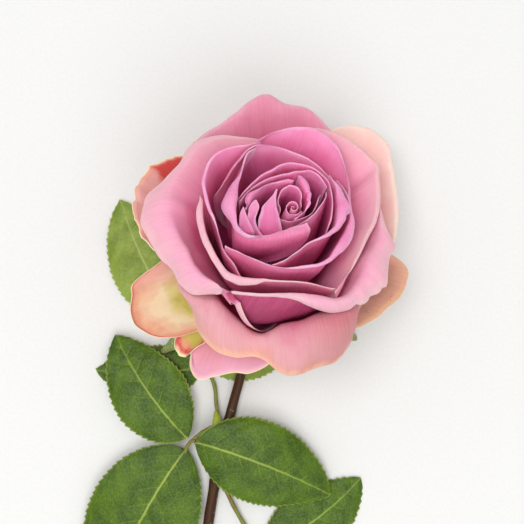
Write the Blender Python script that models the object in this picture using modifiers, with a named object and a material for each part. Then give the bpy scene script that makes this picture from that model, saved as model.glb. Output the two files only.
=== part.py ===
"""A cut garden rose lying on its side, in metres, +Z up.

The bloom is built in its own frame: the origin is the top of the receptacle and +Z is the bloom's axis.
Petals are laid on from the heart outwards. Each is a sheet given by its angle from the axis at every
azimuth and distance from the origin, and each is pushed out until it clears the petals already inside it.
Stem, leaves and sepals are built where they lie. Lengths are millimetres and angles degrees in the tables.
"""

import bmesh
import bpy
import numpy as np
from mathutils import Matrix, Vector

MM = 0.001

# Driving dimensions
BLOOM_ORIGIN = (2.6, -0.9, 31.0)
BLOOM_TILT = 28.0
BLOOM_HEADING = 73.0
PETAL_THICK = 0.36
PETAL_GAP = 0.34
# Each petal leaves the receptacle at a claw, this far from the origin; the first and last claws' angles
CLAW_DISTANCE = 7.0
CLAW_FIRST = 10.0
CLAW_LAST = 89.0
# A petal bends away from its claw by this much, but never lower than this angle from the axis
CLAW_BEND = 14.0
LOWEST_ANGLE = 96.0
# How far along a petal its claw's and its rim's directions carry, as shares of its length
CLAW_CARRY = 0.34
RIM_CARRY = 0.42
COLUMN_STEP = 15.0
PETAL_ROWS = 8
DOME_RADIUS = 6.7
LEAF_THICK = 0.5
LEAF_DROOP = 0.10
SEPAL_THICK = 0.6
SEPAL_HALF_WIDTH = 3.4
SEPAL_DROOP = 0.22
# Distance from the bloom's axis and height of a sepal's root and of its knee
SEPAL_ROOT = (8.0, -2.0)
SEPAL_KNEE = (22.0, -9.0)
# The stem's radius under the bloom and lower down, and the shares of its length where it reaches them
STEM_RADII = (1.75, 2.2)
STEM_GROWS = (0.25, 0.8)
PRICKLE_ROOT_RADIUS = 1.5
PRICKLE_TIP_RADIUS = 0.15
GROUND_GAP = 0.05

# name, first azimuth, last azimuth, reach x5, rise x5, lean, lip, turn, claw width share
# Reach is the rim's distance from the bloom's axis and rise its height above the receptacle, at five
# places across the petal. Lean is the rim's angle from the axis; the lip is what rolls over beyond it.
PETALS = (
    ("heart_scroll", -30, 290, (1.9, 2.0, 2.1, 2.3, 2.6), (43.5, 43.5, 43.5, 43, 43), -2, 0, 0, 0.95),
    ("heart_ring", 226, 486, (3.0, 3.6, 4.0, 5.4, 4.6), (42, 42, 42.5, 43, 42), 0, 0.6, 30, 0.9),
    ("heart_wedge_inner", 140, 262, (5.4, 7.0, 9.2, 8.0, 6.2), (44, 43.5, 42, 39, 34), 6, 0.6, 20, 0.7),
    ("heart_frill", -8, 72, (6.0, 6.6, 7.1, 7.8, 9.6), (43, 44.2, 45.2, 46, 46), 4, 0.8, 40, 0.7),
    ("inner_front_1", -112, 16, (4.7, 4.8, 5.2, 6.6, 9.2), (40, 41, 41.8, 42.7, 43), 2, 0.6, 30, 0.7),
    ("inner_front_2", -96, 17, (9.0, 8.2, 8.4, 9.8, 12.2), (41, 42.1, 43, 44, 44), 3, 0.8, 40, 0.7),
    ("heart_wedge_middle", 165, 252, (10.6, 11.2, 11.6, 10.6, 9.2), (44, 43, 41, 38, 34), 5, 0.6, 20, 0.7),
    ("inner_back_1", 60, 192, (7.8, 7.4, 8.0, 10.3, 13.7), (45, 46, 46, 46, 43), 2, 0.8, 30, 0.7),
    ("heart_wedge_outer", 180, 262, (13.4, 14.2, 14.4, 13.0, 11.0), (44, 44, 42, 39, 36), 5, 0.6, 20, 0.7),
    ("inner_back_2", 61, 156, (10.1, 10.2, 10.6, 11.7, 13.8), (46, 46, 46, 46, 46), 4, 0.8, 30, 0.7),
    ("inner_ring", -35, 177, (14.6, 13.8, 12.4, 13.3, 15.4), (38, 44.3, 46, 46, 44), 4, 1.0, 40, 0.8),
    ("middle_left_1", 131, 255, (18.6, 15.9, 17.0, 17.9, 13.4), (46, 46, 45, 45, 44), 6, 3.0, 90, 0.7),
    ("middle_right_1", -98, 31, (19.1, 15.2, 15.2, 15.4, 16.0), (40, 41.7, 42, 43.4, 45), 6, 3.4, 95, 0.7),
    ("middle_front_1", 221, 355, (23.7, 21.6, 22.1, 20.2, 20.4), (42, 42, 42, 40.5, 40), 6, 3.4, 100, 0.7),
    ("middle_top", 49, 177, (17.0, 18.0, 20.3, 20.8, 23.6), (45, 45, 44.5, 41.4, 38), 8, 1.0, 40, 0.7),
    ("middle_left_2", 118, 238, (23.0, 26.5, 25.2, 24.4, 26.8), (43, 43, 42, 41, 37), 10, 1.4, 40, 0.7),
    ("middle_right_2", 4, 117, (20.6, 23.0, 26.9, 27.0, 24.6), (40, 41.8, 43, 43, 42), 10, 2.2, 60, 0.7),
    ("outer_front_1", 183, 295, (27.6, 28.0, 28.2, 26.2, 29.1), (40, 40, 40, 39.6, 38), 10, 4.0, 105, 0.65),
    ("outer_right", -60, 63, (29.6, 25.2, 25.4, 31.0, 35.1), (35, 35, 35, 34, 36), 16, 6.5, 85, 0.65),
    ("outer_front_2", 240, 367, (32.6, 30.0, 32.4, 31.6, 29.2), (38, 38, 36.5, 33.8, 33), 14, 8.0, 95, 0.65),
    ("outer_left", 108, 243, (33.0, 37.0, 41.2, 38.0, 33.6), (37, 34, 31, 34, 37), 32, 7.0, 90, 0.6),
    ("outer_top", 42, 144, (33.0, 39.0, 44.0, 40.0, 38.3), (35, 34, 34, 34, 34), 40, 4.0, 70, 0.6),
    ("lower_front", 203, 316, (35.6, 35.4, 34.6, 34.2, 33.6), (25, 26, 23.4, 22.6, 23), 52, 16.0, 95, 0.6),
    ("guard_right_upper", -6, 66, (37, 40, 43.6, 46, 40), (22, 24.5, 26.2, 27.4, 29), 62, 5.0, 50, 0.5),
    ("guard_left_upper", 118, 187, (42.0, 44.0, 46.6, 44.6, 41.1), (22, 19, 17, 16, 15), 70, 3.0, 40, 0.5),
    ("guard_right_lower", -46, 4, (38.5, 41.0, 43.6, 45.0, 41.0), (9, 8, 7.4, 7.6, 10), 78, 3.0, 40, 0.45),
    ("guard_left_lower", 190, 228, (42.0, 48.4, 50.0, 48.4, 41.0), (11, 9, 7.6, 7.2, 8), 82, 2.5, -50, 0.45),
    ("guard_stunted", 220, 235, (37, 41, 42.6, 42, 38), (1.4, 0.6, -0.6, -0.6, 0.4), 92, 1.0, 40, 0.4),
    ("guard_front", 236, 276, (42.6, 45.6, 43.3, 41.4, 37.9), (1.6, 0.4, -0.2, 0.2, 1.6), 96, 4.0, 60, 0.45),
    ("guard_back", 66, 128, (33.0, 37.0, 39.0, 37.0, 33.0), (3, 1, 0, 1, 3), 98, 4.0, 40, 0.5),
)

# The turned outline of receptacle and hip below the dome: radius, height along the bloom's axis
HIP_OUTLINE = (
    (6.9, -0.9), (7.1, -1.6), (6.4, -2.6), (6.2, -4.2), (6.7, -6.4), (6.5, -8.8),
    (5.4, -11.2), (3.8, -13.0), (2.9, -14.2), (2.6, -15.4),
)
HIP_BASE = -15.4

# name, azimuth where it leaves the hip, tip where it lies
SEPALS = (
    ("sepal_1", 227, (-36.5, -33.0, 3.4)),
    ("sepal_2", 313, (34.5, -28.4, 0.3)),
    ("sepal_3", 30, (27.0, 19.0, 0.3)),
    ("sepal_4", 140, (-20.0, 23.0, 0.3)),
    ("sepal_5", 268, (9.0, -37.0, 4.0)),
)

STEM_POINTS = (
    (-0.7, -11.4, 12.3), (-2.2, -16.2, 9.2), (-4.2, -23.6, 6.8), (-6.0, -32.4, 5.1), (-8.0, -42.2, 3.6),
    (-10.4, -51.0, 2.7),
    (-13.5, -63.1, 2.4), (-16.4, -76.0, 2.4), (-18.6, -89.0, 2.4), (-21.0, -105.0, 2.4), (-23.6, -125.0, 2.4),
    (-26.6, -148.0, 2.4), (-28.6, -170.0, 2.4), (-29.6, -193.0, 2.4),
)

# name, tube radius, points
STALKS = (
    ("petiole_1", 0.9, ((-16.6, -61.0, 4.6), (-19.4, -60.8, 5.2), (-22.4, -62.0, 5.5), (-25.2, -64.2, 5.6))),
    ("rachis_1", 0.7, ((-25.9, -65.0, 5.6), (-26.6, -66.0, 5.6), (-27.2, -67.2, 5.5))),
    ("petiole_2", 0.8, ((-15.3, -58.0, 4.5), (-17.4, -52.0, 3.2), (-17.6, -45.0, 2.2), (-20.6, -38.2, 1.8))),
    ("rachis_2", 0.7, ((-21.4, -36.8, 1.8), (-25.6, -29.6, 1.7), (-30.6, -21.8, 1.7))),
    ("petiole_3", 0.8, ((-14.6, -79.6, 3.6), (-10.4, -88.6, 3.0), (-6.0, -96.6, 2.4), (-0.6, -105.6, 2.0))),
    ("rachis_3", 0.7, ((0.2, -107.0, 2.0), (1.6, -110.0, 1.9), (2.6, -113.0, 1.9))),
)

# name, base, tip, half width, arch, sideways bow of the midrib, fold of the two halves, lies on the ground
LEAFLETS = (
    ("leaflet_1_left", (-27.2, -63.2, 7.2), (-53.0, -26.6, 2.6), 13.8, 3.0, 2.4, 0.10, False),
    ("leaflet_1_right", (-23.6, -64.9, 7.4), (24.8, -84.6, 3.6), 15.2, 4.6, 2.6, -0.02, False),
    ("leaflet_1_end", (-27.7, -68.2, 5.4), (-57.0, -126.0, 1.2), 20.0, 2.4, -4.0, 0.06, True),
    ("leaflet_2_left", (-22.2, -38.4, 1.6), (-60.6, -39.6, 0.9), 10.0, 0.6, 2.0, 0.02, True),
    ("leaflet_2_right", (-19.4, -37.6, 1.3), (13.0, -29.0, 0.9), 8.0, 0.3, -2.0, 0.02, True),
    ("leaflet_2_end", (-31.4, -20.6, 1.7), (-51.6, 22.6, 1.0), 13.0, 1.6, 2.4, 0.04, True),
    ("leaflet_3_right", (0.8, -105.2, 1.6), (36.0, -79.0, 0.9), 12.4, 0.6, -3.0, 0.04, True),
    ("leaflet_3_end", (3.0, -114.4, 1.9), (13.0, -166.0, 1.0), 16.0, 2.4, 2.6, 0.06, True),
    ("leaflet_3_left", (-1.6, -107.6, 2.4), (-41.0, -147.0, 3.4), 12.6, 6.4, -2.4, 0.02, False),
)

# name, centre of its root on the stem's surface, direction it points, length
PRICKLES = (
    ("prickle_1", (-25.4, -117.0, 2.6), (-1.0, -0.25, 0.12), 4.6),
    ("prickle_2", (-22.4, -137.0, 2.6), (1.0, -0.25, 0.15), 5.0),
    ("prickle_3", (-31.2, -160.0, 2.6), (-1.0, -0.2, 0.1), 5.0),
    ("prickle_4", (-26.6, -178.0, 2.6), (1.0, -0.2, 0.1), 4.4),
)

# Linear colour and roughness
FINISHES = {
    "petal": ((0.62, 0.16, 0.33), 0.6),
    "guard": ((0.84, 0.52, 0.42), 0.6),
    "leaf": ((0.06, 0.17, 0.05), 0.4),
    "sepal": ((0.20, 0.30, 0.10), 0.5),
    "stem": ((0.19, 0.09, 0.04), 0.5),
}

# The chart of the widest angle reached so far, by azimuth and by distance from the origin
AZIMUTH_CELLS = 360
DISTANCE_FROM = 6.0
DISTANCE_CELL = 0.4
DISTANCE_CELLS = 150
CLEARING_STEPS = 9
EVEN_STEPS = 3


# --------------------------------------------------------------------------- scene and materials
def clear_scene():
    for held in list(bpy.data.objects):
        bpy.data.objects.remove(held)


def material(name, finish):
    colour, roughness = FINISHES[finish]
    made = bpy.data.materials.new(name + "_finish")
    made.use_nodes = True
    shader = made.node_tree.nodes["Principled BSDF"]
    shader.inputs["Base Color"].default_value = (*colour, 1.0)
    shader.inputs["Roughness"].default_value = roughness
    shader.inputs["Metallic"].default_value = 0.0
    return made


def place(mesh, name, finish, smooth=True):
    mesh.materials.append(material(name, finish))
    if smooth:
        for face in mesh.polygons:
            face.use_smooth = True
    made = bpy.data.objects.new(name, mesh)
    ROSE.objects.link(made)
    return made


# --------------------------------------------------------------------------- sheets
def sheet(name, points, thickness, finish):
    """An open grid of points (rows, columns, 3) given a thickness on the side its faces look to."""
    rows, columns = points.shape[:2]
    held = bmesh.new()
    bmesh.ops.create_grid(held, x_segments=columns - 1, y_segments=rows - 1, size=1.0)
    for vertex in held.verts:
        column = round((vertex.co.x + 1) / 2 * (columns - 1))
        row = round((vertex.co.y + 1) / 2 * (rows - 1))
        vertex.co = Vector(points[row, column] * MM)
    mesh = bpy.data.meshes.new(name)
    held.to_mesh(mesh)
    held.free()
    solid = place(mesh, name, finish).modifiers.new("thickness", "SOLIDIFY")
    solid.thickness = thickness * MM
    solid.offset = 1.0
    solid.use_rim = True


def smoothstep(x):
    x = np.clip(x, 0.0, 1.0)
    return x * x * (3 - 2 * x)


def across(values, s):
    """Five values spread over -1..1, read smoothly at s."""
    values = np.asarray(values, float)
    padded = np.concatenate([[2 * values[0] - values[1]], values, [2 * values[-1] - values[-2]]])
    place_at = (np.asarray(s) + 1) * 2
    cell = np.clip(place_at.astype(int), 0, 3)
    t = place_at - cell
    a, b, c, d = (padded[cell + k] for k in range(4))
    return b + 0.5 * t * (c - a + t * (2 * a - 5 * b + 4 * c - d + t * (3 * (b - c) + d - a)))


# --------------------------------------------------------------------------- bloom
def bloom_matrix():
    """Turns bloom coordinates into the lying rose's: the axis leans towards the heading."""
    heading = np.radians(BLOOM_HEADING)
    turn = Matrix.Rotation(np.radians(BLOOM_TILT), 3, Vector((-np.sin(heading), np.cos(heading), 0)))
    return np.array(turn)


def to_world(points):
    return np.asarray(points) @ bloom_matrix().T + np.array(BLOOM_ORIGIN)


def from_polar(azimuth, distance, angle):
    flat = distance * np.sin(angle)
    return np.stack([flat * np.cos(azimuth), flat * np.sin(azimuth), distance * np.cos(angle)], -1)


def to_polar(points):
    flat = np.hypot(points[..., 0], points[..., 1])
    azimuth = np.degrees(np.arctan2(points[..., 1], points[..., 0])) % 360
    return azimuth, np.hypot(flat, points[..., 2]), np.arctan2(flat, points[..., 2])


def column_profile(reach, rise, claw, lean, lip, turn):
    """Points (distance from axis, height) up one column of a petal, from its claw over its rim to its lip."""
    start = CLAW_DISTANCE * np.array([np.sin(claw), np.cos(claw)])
    end = np.array([reach, rise])
    length = np.linalg.norm(end - start)
    out = min(claw + np.radians(CLAW_BEND), np.radians(LOWEST_ANGLE))
    first = start + CLAW_CARRY * length * np.array([np.sin(out), np.cos(out)])
    last = end - RIM_CARRY * length * np.array([np.sin(lean), np.cos(lean)])
    t = np.linspace(0, 1, 41)[:, None]
    body = (1 - t) ** 3 * start + 3 * t * (1 - t) ** 2 * first + 3 * t * t * (1 - t) * last + t ** 3 * end
    if lip <= 0:
        return body
    steps = 8
    heading = lean + turn * (np.arange(steps) + 0.5) / steps
    rolled = end + np.cumsum(np.stack([np.sin(heading), np.cos(heading)], 1) * lip / steps, 0)
    return np.concatenate([body, rolled])


def petal_points(row, claw, columns, rows):
    """The petal's wished-for sheet as azimuth (radians), distance and angle, each (rows, columns)."""
    _, first, last, reach, rise, lean, lip, turn, share = row
    lean, turn = np.radians(lean), np.radians(turn)
    s = np.linspace(-1, 1, columns)
    u = 1 - (1 - np.linspace(0, 1, rows)) ** 1.2
    reaches, rises = across(reach, s), across(rise, s)
    lips = lip * (1 - 0.6 * np.abs(s) ** 6)
    distance = np.empty((rows, columns))
    angle = np.empty((rows, columns))
    for i in range(columns):
        line = column_profile(reaches[i], rises[i], claw, lean, lips[i], turn)
        along = np.concatenate([[0], np.cumsum(np.linalg.norm(np.diff(line, axis=0), axis=1))])
        at = u * along[-1]
        flat, height = np.interp(at, along, line[:, 0]), np.interp(at, along, line[:, 1])
        distance[:, i] = np.hypot(flat, height)
        angle[:, i] = np.arctan2(flat, height)
    distance = np.maximum.accumulate(distance + 0.02 * np.arange(rows)[:, None], 0)
    width = share + (1 - share) * smoothstep(u / 0.55)
    middle, half = (first + last) / 2, (last - first) / 2
    azimuth = np.radians(middle + half * width[:, None] * s[None, :])
    return azimuth, distance, angle


def refined(points, per_row, per_column):
    """Points on the flat facets between a grid's points."""
    rows, columns = points.shape[:2]
    v = np.linspace(0, rows - 1, (rows - 1) * per_row + 1)
    h = np.linspace(0, columns - 1, (columns - 1) * per_column + 1)
    r, c = np.minimum(v.astype(int), rows - 2), np.minimum(h.astype(int), columns - 2)
    fv, fh = (v - r)[:, None, None], (h - c)[None, :, None]
    a, b = points[r][:, c], points[r][:, c + 1]
    d, e = points[r + 1][:, c], points[r + 1][:, c + 1]
    return (1 - fv) * ((1 - fh) * a + fh * b) + fv * ((1 - fh) * d + fh * e)


def distance_cell(distance, last):
    return np.clip((distance - DISTANCE_FROM) / DISTANCE_CELL, 0, last)


def widest_at(chart, azimuth, distance):
    """The widest angle in the four cells round each place."""
    i = np.floor(azimuth).astype(int) % AZIMUTH_CELLS
    k = (i + 1) % AZIMUTH_CELLS
    j = distance_cell(distance, DISTANCE_CELLS - 2).astype(int)
    return np.max([chart[i, j], chart[k, j], chart[i, j + 1], chart[k, j + 1]], 0)


def widen(chart, points):
    azimuth, distance, angle = to_polar(points)
    i = np.round(azimuth).astype(int) % AZIMUTH_CELLS
    j = np.round(distance_cell(distance, DISTANCE_CELLS - 1)).astype(int)
    np.maximum.at(chart, (i.ravel(), j.ravel()), angle.ravel())


def neighbours(values):
    """Nine copies of a grid: itself and its neighbours, up, down and to the sides."""
    padded = np.pad(values, 1, mode="edge")
    rows, columns = values.shape
    return [padded[a:a + rows, b:b + columns] for a in range(3) for b in range(3)]


def cleared(chart, azimuth, distance, angle, per_row=8, per_column=12):
    """The angle raised, as evenly as it can be, until the faceted sheet clears everything inside it."""
    rows, columns = angle.shape
    for step in range(CLEARING_STEPS):
        points = refined(from_polar(azimuth, distance, angle), per_row, per_column)
        at, far, now = to_polar(points)
        short = widest_at(chart, at, far) + PETAL_GAP / far - now
        need = np.zeros((rows, columns))
        cells = np.pad(short, ((per_row, per_row), (per_column, per_column)), constant_values=-1.0)
        for r in range(rows):
            for c in range(columns):
                block = cells[r * per_row:(r + 2) * per_row + 1, c * per_column:(c + 2) * per_column + 1]
                need[r, c] = max(0.0, block.max())
        if need.max() < 1e-5:
            break
        if step < EVEN_STEPS:
            need = np.mean(neighbours(np.max(neighbours(need), 0)), 0)
        angle = angle + need
    return angle


def normals_of(points):
    """Unit normals of a grid, on the side that the faces of the grid look to."""
    along = np.gradient(points, axis=0)
    side = np.gradient(points, axis=1)
    normal = np.cross(side, along)
    return normal / np.linalg.norm(normal, axis=-1, keepdims=True)


def add_petals():
    chart = np.zeros((AZIMUTH_CELLS, DISTANCE_CELLS))
    claws = np.radians(np.linspace(CLAW_FIRST, CLAW_LAST, len(PETALS)))
    for row, claw in zip(PETALS, claws):
        name, first, last = row[:3]
        columns = max(4, round((last - first) / COLUMN_STEP) + 1)
        azimuth, distance, wished = petal_points(row, claw, columns, PETAL_ROWS)
        angle = cleared(chart, azimuth, distance, wished)
        print(f"{name:20s} pushed out by up to {np.degrees(angle - wished).max():5.1f} deg")
        points = from_polar(azimuth, distance, angle)
        outer = points + PETAL_THICK * outward(points)
        widen(chart, refined(points, 24, 32))
        widen(chart, refined(outer, 24, 32))
        finish = "guard" if name.startswith("guard") else "petal"
        sheet(name, looking_out(to_world(points)), PETAL_THICK, finish)


def outward(points):
    normal = normals_of(points)
    away = points - np.array([0, 0, 1.0]) * points[..., 2:3]
    return normal if (normal * away).sum() > 0 else -normal


def looking_out(grid):
    """The grid, turned over if its faces look to the bloom's axis."""
    axis = bloom_matrix()[:, 2]
    away = grid - np.array(BLOOM_ORIGIN)
    away = away - (away @ axis)[..., None] * axis
    return grid if (normals_of(grid) * away).sum() > 0 else grid[:, ::-1]


def looking_up(grid):
    """The grid, turned over if its faces look down."""
    return grid if normals_of(grid)[..., 2].sum() > 0 else grid[:, ::-1]


def add_hip():
    """Receptacle and hip in one turned piece."""
    angles = np.radians(np.linspace(0, 84, 7))
    outline = [(0.0, DOME_RADIUS)]
    outline += [(DOME_RADIUS * np.sin(a), DOME_RADIUS * np.cos(a)) for a in angles[1:]]
    outline += list(HIP_OUTLINE) + [(0.0, HIP_BASE)]
    mesh = bpy.data.meshes.new("hip")
    points = [(r * MM, 0, z * MM) for r, z in outline]
    mesh.from_pydata(points, [(i, i + 1) for i in range(len(points) - 1)], [])
    made = place(mesh, "hip", "sepal", smooth=False)
    screw = made.modifiers.new("turned", "SCREW")
    screw.steps = screw.render_steps = 20
    screw.use_merge_vertices = True
    screw.merge_threshold = 0.00001
    screw.use_smooth_shade = True
    matrix = Matrix(bloom_matrix().tolist()).to_4x4()
    made.matrix_world = Matrix.Translation(Vector(BLOOM_ORIGIN) * MM) @ matrix


# --------------------------------------------------------------------------- ribbons: leaflets, sepals
def bezier(points, t):
    a, b, c, d = (np.asarray(p, float) for p in points)
    t = t[:, None]
    return (1 - t) ** 3 * a + 3 * t * (1 - t) ** 2 * b + 3 * t * t * (1 - t) * c + t ** 3 * d


def ribbon(line, half_widths, columns, fold, droop):
    """A grid round a centre line: fold lifts both sides in a V, droop lets the edges fall."""
    along = np.gradient(line, axis=0)
    along /= np.linalg.norm(along, axis=1, keepdims=True)
    side = np.cross(along, (0, 0, 1.0))
    side /= np.linalg.norm(side, axis=1, keepdims=True)
    up = np.cross(side, along)
    v = np.linspace(-1, 1, columns)
    lift = fold * np.abs(v) - droop * v * v
    return (
        line[:, None]
        + side[:, None] * (half_widths[:, None] * v[None, :])[..., None]
        + up[:, None] * (half_widths[:, None] * lift[None, :])[..., None]
    )


def add_leaflets():
    for name, base, tip, half, arch, bow, fold, lies in LEAFLETS:
        base, tip = np.array(base), np.array(tip)
        run = tip - base
        side = np.array([-run[1], run[0], 0]) / np.hypot(run[0], run[1])
        lift = np.array([0, 0, arch])
        t = np.linspace(0, 1, 10)
        bowed = side * bow + lift
        line = bezier((base, base + run * 0.33 + bowed, base + run * 0.7 + bowed, tip), t)
        widths = half * np.maximum(np.sin(np.pi * t ** 0.82) ** 0.72, 0.03)
        grid = ribbon(line, widths, 7, fold, LEAF_DROOP)
        if lies:
            grid[..., 2] -= grid[..., 2].min() - GROUND_GAP
        sheet(name, looking_up(grid), LEAF_THICK, "leaf")


def add_sepals():
    for name, azimuth, tip in SEPALS:
        turn = np.radians(azimuth)
        places = (SEPAL_ROOT, SEPAL_KNEE)
        start, knee = to_world([(away * np.cos(turn), away * np.sin(turn), high) for away, high in places])
        tip = np.array(tip)
        before = tip + (start - tip) * 0.3 + np.array([0, 0, 1.0])
        t = np.linspace(0, 1, 9)
        line = bezier((start, start + (knee - start) * 0.8, before, tip), t)
        widths = SEPAL_HALF_WIDTH * (1 - t) ** 0.55 * (0.75 + 0.9 * t) + 0.3
        grid = ribbon(line, widths, 4, 0.0, SEPAL_DROOP)
        grid[..., 2] = np.maximum(grid[..., 2], GROUND_GAP)
        sheet(name, looking_up(grid), SEPAL_THICK, "sepal")


# --------------------------------------------------------------------------- tubes
def through(points, count):
    """Evenly spread points on the smooth curve through the given ones."""
    points = np.asarray(points, float)
    padded = np.concatenate([[2 * points[0] - points[1]], points, [2 * points[-1] - points[-2]]])
    found = []
    for k in range(len(points) - 1):
        a, b, c, d = padded[k:k + 4]
        for t in np.linspace(0, 1, 12, endpoint=False):
            found.append(b + 0.5 * t * (c - a + t * (2 * a - 5 * b + 4 * c - d + t * (3 * (b - c) + d - a))))
    found = np.array(found + [points[-1]])
    along = np.concatenate([[0], np.cumsum(np.linalg.norm(np.diff(found, axis=0), axis=1))])
    at = np.linspace(0, along[-1], count)
    return np.stack([np.interp(at, along, found[:, k]) for k in range(3)], 1)


def tube(name, points, radii, resolution):
    """A capped round tube; radii are in millimetres, one for each point."""
    curve = bpy.data.curves.new(name, "CURVE")
    curve.dimensions = "3D"
    curve.bevel_depth = MM
    curve.bevel_resolution = resolution
    curve.use_fill_caps = True
    spline = curve.splines.new("POLY")
    spline.points.add(len(points) - 1)
    for held, point, radius in zip(spline.points, points, radii):
        held.co = (*(point * MM), 1.0)
        held.radius = radius
    curve.materials.append(material(name, "stem"))
    ROSE.objects.link(bpy.data.objects.new(name, curve))


def add_stem():
    top = to_world(np.array([[0, 0, HIP_BASE - 0.5], [0, 0, HIP_BASE - 2.4]]))
    points = through(np.concatenate([top, np.array(STEM_POINTS)]), 46)
    radii = np.interp(np.linspace(0, 1, len(points)), STEM_GROWS, STEM_RADII)
    points[:, 2] = np.maximum(points[:, 2], radii + GROUND_GAP)
    tube("stem", points, radii, 2)


def add_stalks():
    for name, radius, points in STALKS:
        tube(name, through(points, 9), np.full(9, radius), 1)


def add_prickles():
    for name, root, way, length in PRICKLES:
        held = bmesh.new()
        bmesh.ops.create_cone(
            held,
            cap_ends=True,
            segments=8,
            radius1=PRICKLE_ROOT_RADIUS * MM,
            radius2=PRICKLE_TIP_RADIUS * MM,
            depth=length * MM,
        )
        way = Vector(way).normalized()
        turn = Vector((0, 0, 1)).rotation_difference(way).to_matrix().to_4x4()
        centre = (Vector(root) + way * length * 0.5) * MM
        bmesh.ops.transform(held, matrix=Matrix.Translation(centre) @ turn, verts=held.verts)
        mesh = bpy.data.meshes.new(name)
        held.to_mesh(mesh)
        held.free()
        place(mesh, name, "stem")


# --------------------------------------------------------------------------- origin
def centre_on_origin():
    """Moves the whole rose so that the bottom centre of its box is the origin."""
    bpy.context.view_layer.update()
    graph = bpy.context.evaluated_depsgraph_get()
    lows, highs = [], []
    for held in ROSE.objects:
        seen = held.evaluated_get(graph)
        mesh = seen.to_mesh()
        points = np.array([seen.matrix_world @ v.co for v in mesh.vertices])
        seen.to_mesh_clear()
        lows.append(points.min(0))
        highs.append(points.max(0))
    low, high = np.min(lows, 0), np.max(highs, 0)
    shift = Vector((-(low[0] + high[0]) / 2, -(low[1] + high[1]) / 2, -low[2]))
    print("box", (high - low) / MM, "moved by", tuple(shift / MM))
    for held in ROSE.objects:
        held.location = held.location + shift


clear_scene()
ROSE = bpy.data.collections.new("rose")
bpy.context.scene.collection.children.link(ROSE)
add_petals()
add_hip()
add_sepals()
add_stem()
add_stalks()
add_leaflets()
add_prickles()
centre_on_origin()
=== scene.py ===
# %% [markdown]
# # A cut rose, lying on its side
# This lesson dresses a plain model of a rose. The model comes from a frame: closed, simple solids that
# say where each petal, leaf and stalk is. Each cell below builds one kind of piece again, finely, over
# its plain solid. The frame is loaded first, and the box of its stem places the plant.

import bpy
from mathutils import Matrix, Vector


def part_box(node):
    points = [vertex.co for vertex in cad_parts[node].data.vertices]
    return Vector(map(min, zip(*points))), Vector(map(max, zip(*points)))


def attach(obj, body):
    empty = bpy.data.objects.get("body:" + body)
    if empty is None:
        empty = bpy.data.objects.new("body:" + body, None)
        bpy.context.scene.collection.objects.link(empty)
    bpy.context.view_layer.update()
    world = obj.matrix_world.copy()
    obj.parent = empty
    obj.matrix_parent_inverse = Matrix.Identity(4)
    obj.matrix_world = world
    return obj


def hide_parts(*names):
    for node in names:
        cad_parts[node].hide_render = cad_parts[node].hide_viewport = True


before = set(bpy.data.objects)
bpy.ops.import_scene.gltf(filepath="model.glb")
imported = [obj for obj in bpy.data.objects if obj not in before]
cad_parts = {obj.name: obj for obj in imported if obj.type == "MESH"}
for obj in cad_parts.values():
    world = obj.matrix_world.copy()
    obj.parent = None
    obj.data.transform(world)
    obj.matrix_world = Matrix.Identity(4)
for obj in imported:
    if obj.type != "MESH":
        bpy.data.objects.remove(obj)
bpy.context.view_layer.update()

import math

import bpy
import numpy as np
from mathutils import Matrix, Vector

MM = 0.001

# %% [markdown]
# ## Measures of the plant
# A florist measures a rose along its own stem, not from a table. The tables in this lesson do the same,
# in millimetres: the stem's lower left corner is known in the plant's measures, and the frame says where
# it lies. The difference moves everything. The bloom has measures of its own too, along its axis, which
# leans back.

# %% Place the plant in the frame
STEM_CORNER = np.array([-31.797, -193.088, 0.201])
PLANT_SHIFT = np.array(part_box("stem")[0]) / MM - STEM_CORNER
BLOOM_ORIGIN = np.array([2.6, -0.9, 31.0])
BLOOM_TILT = math.radians(28)
BLOOM_HEADING = math.radians(73)

LEAN_AXIS = Vector((-math.sin(BLOOM_HEADING), math.cos(BLOOM_HEADING), 0))
BLOOM_TURN = np.array(Matrix.Rotation(BLOOM_TILT, 3, LEAN_AXIS))


def from_bloom(points):
    """Bloom measures to plant measures."""
    return np.asarray(points) @ BLOOM_TURN.T + BLOOM_ORIGIN


print("plant shifted by", np.round(PLANT_SHIFT, 2), "mm; bloom's axis", np.round(BLOOM_TURN[:, 2], 3))

# %% [markdown]
# ## Grids of points
# Petals, leaflets and sepals are all thin sheets. Such a sheet could be modelled by pulling at a plane,
# but a rule for every point is easier to repeat and to change. So each sheet starts as a grid: rows run
# from its claw to its rim and columns from side to side. These helpers join a grid's points into faces
# and measure along its lines.

# %% Grid helpers


def grid_faces(rows, columns, first=0):
    corner = np.arange(rows - 1)[:, None] * columns + np.arange(columns - 1)[None, :] + first
    return np.stack([corner, corner + 1, corner + columns + 1, corner + columns], -1).reshape(-1, 4)


def edge_loop(rows, columns):
    """The grid's border, once round."""
    bottom = np.arange(columns)
    right = np.arange(1, rows) * columns + columns - 1
    top = (rows - 1) * columns + np.arange(columns - 2, -1, -1)
    left = np.arange(rows - 2, 0, -1) * columns
    return np.concatenate([bottom, right, top, left])


def normals_of(points):
    normal = np.cross(np.gradient(points, axis=1), np.gradient(points, axis=0))
    return normal / np.maximum(np.linalg.norm(normal, axis=-1, keepdims=True), 1e-9)


def lengths(points, axis):
    """Distance run along each line of a grid."""
    steps = np.linalg.norm(np.diff(points, axis=axis), axis=-1)
    start = np.zeros_like(np.take(steps, [0], axis))
    return np.cumsum(np.concatenate([start, steps], axis), axis)


def from_sides(across):
    """Distance from the nearer of a grid's two sides."""
    return np.minimum(across, across[:, -1:] - across)


def smooth_step(x):
    """0 up to 0, 1 from 1 on, with a smooth rise between."""
    x = np.clip(x, 0.0, 1.0)
    return x * x * (3 - 2 * x)


print("3 by 4 points make", len(grid_faces(3, 4)), "faces and a border of", len(edge_loop(3, 4)), "points")

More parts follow.
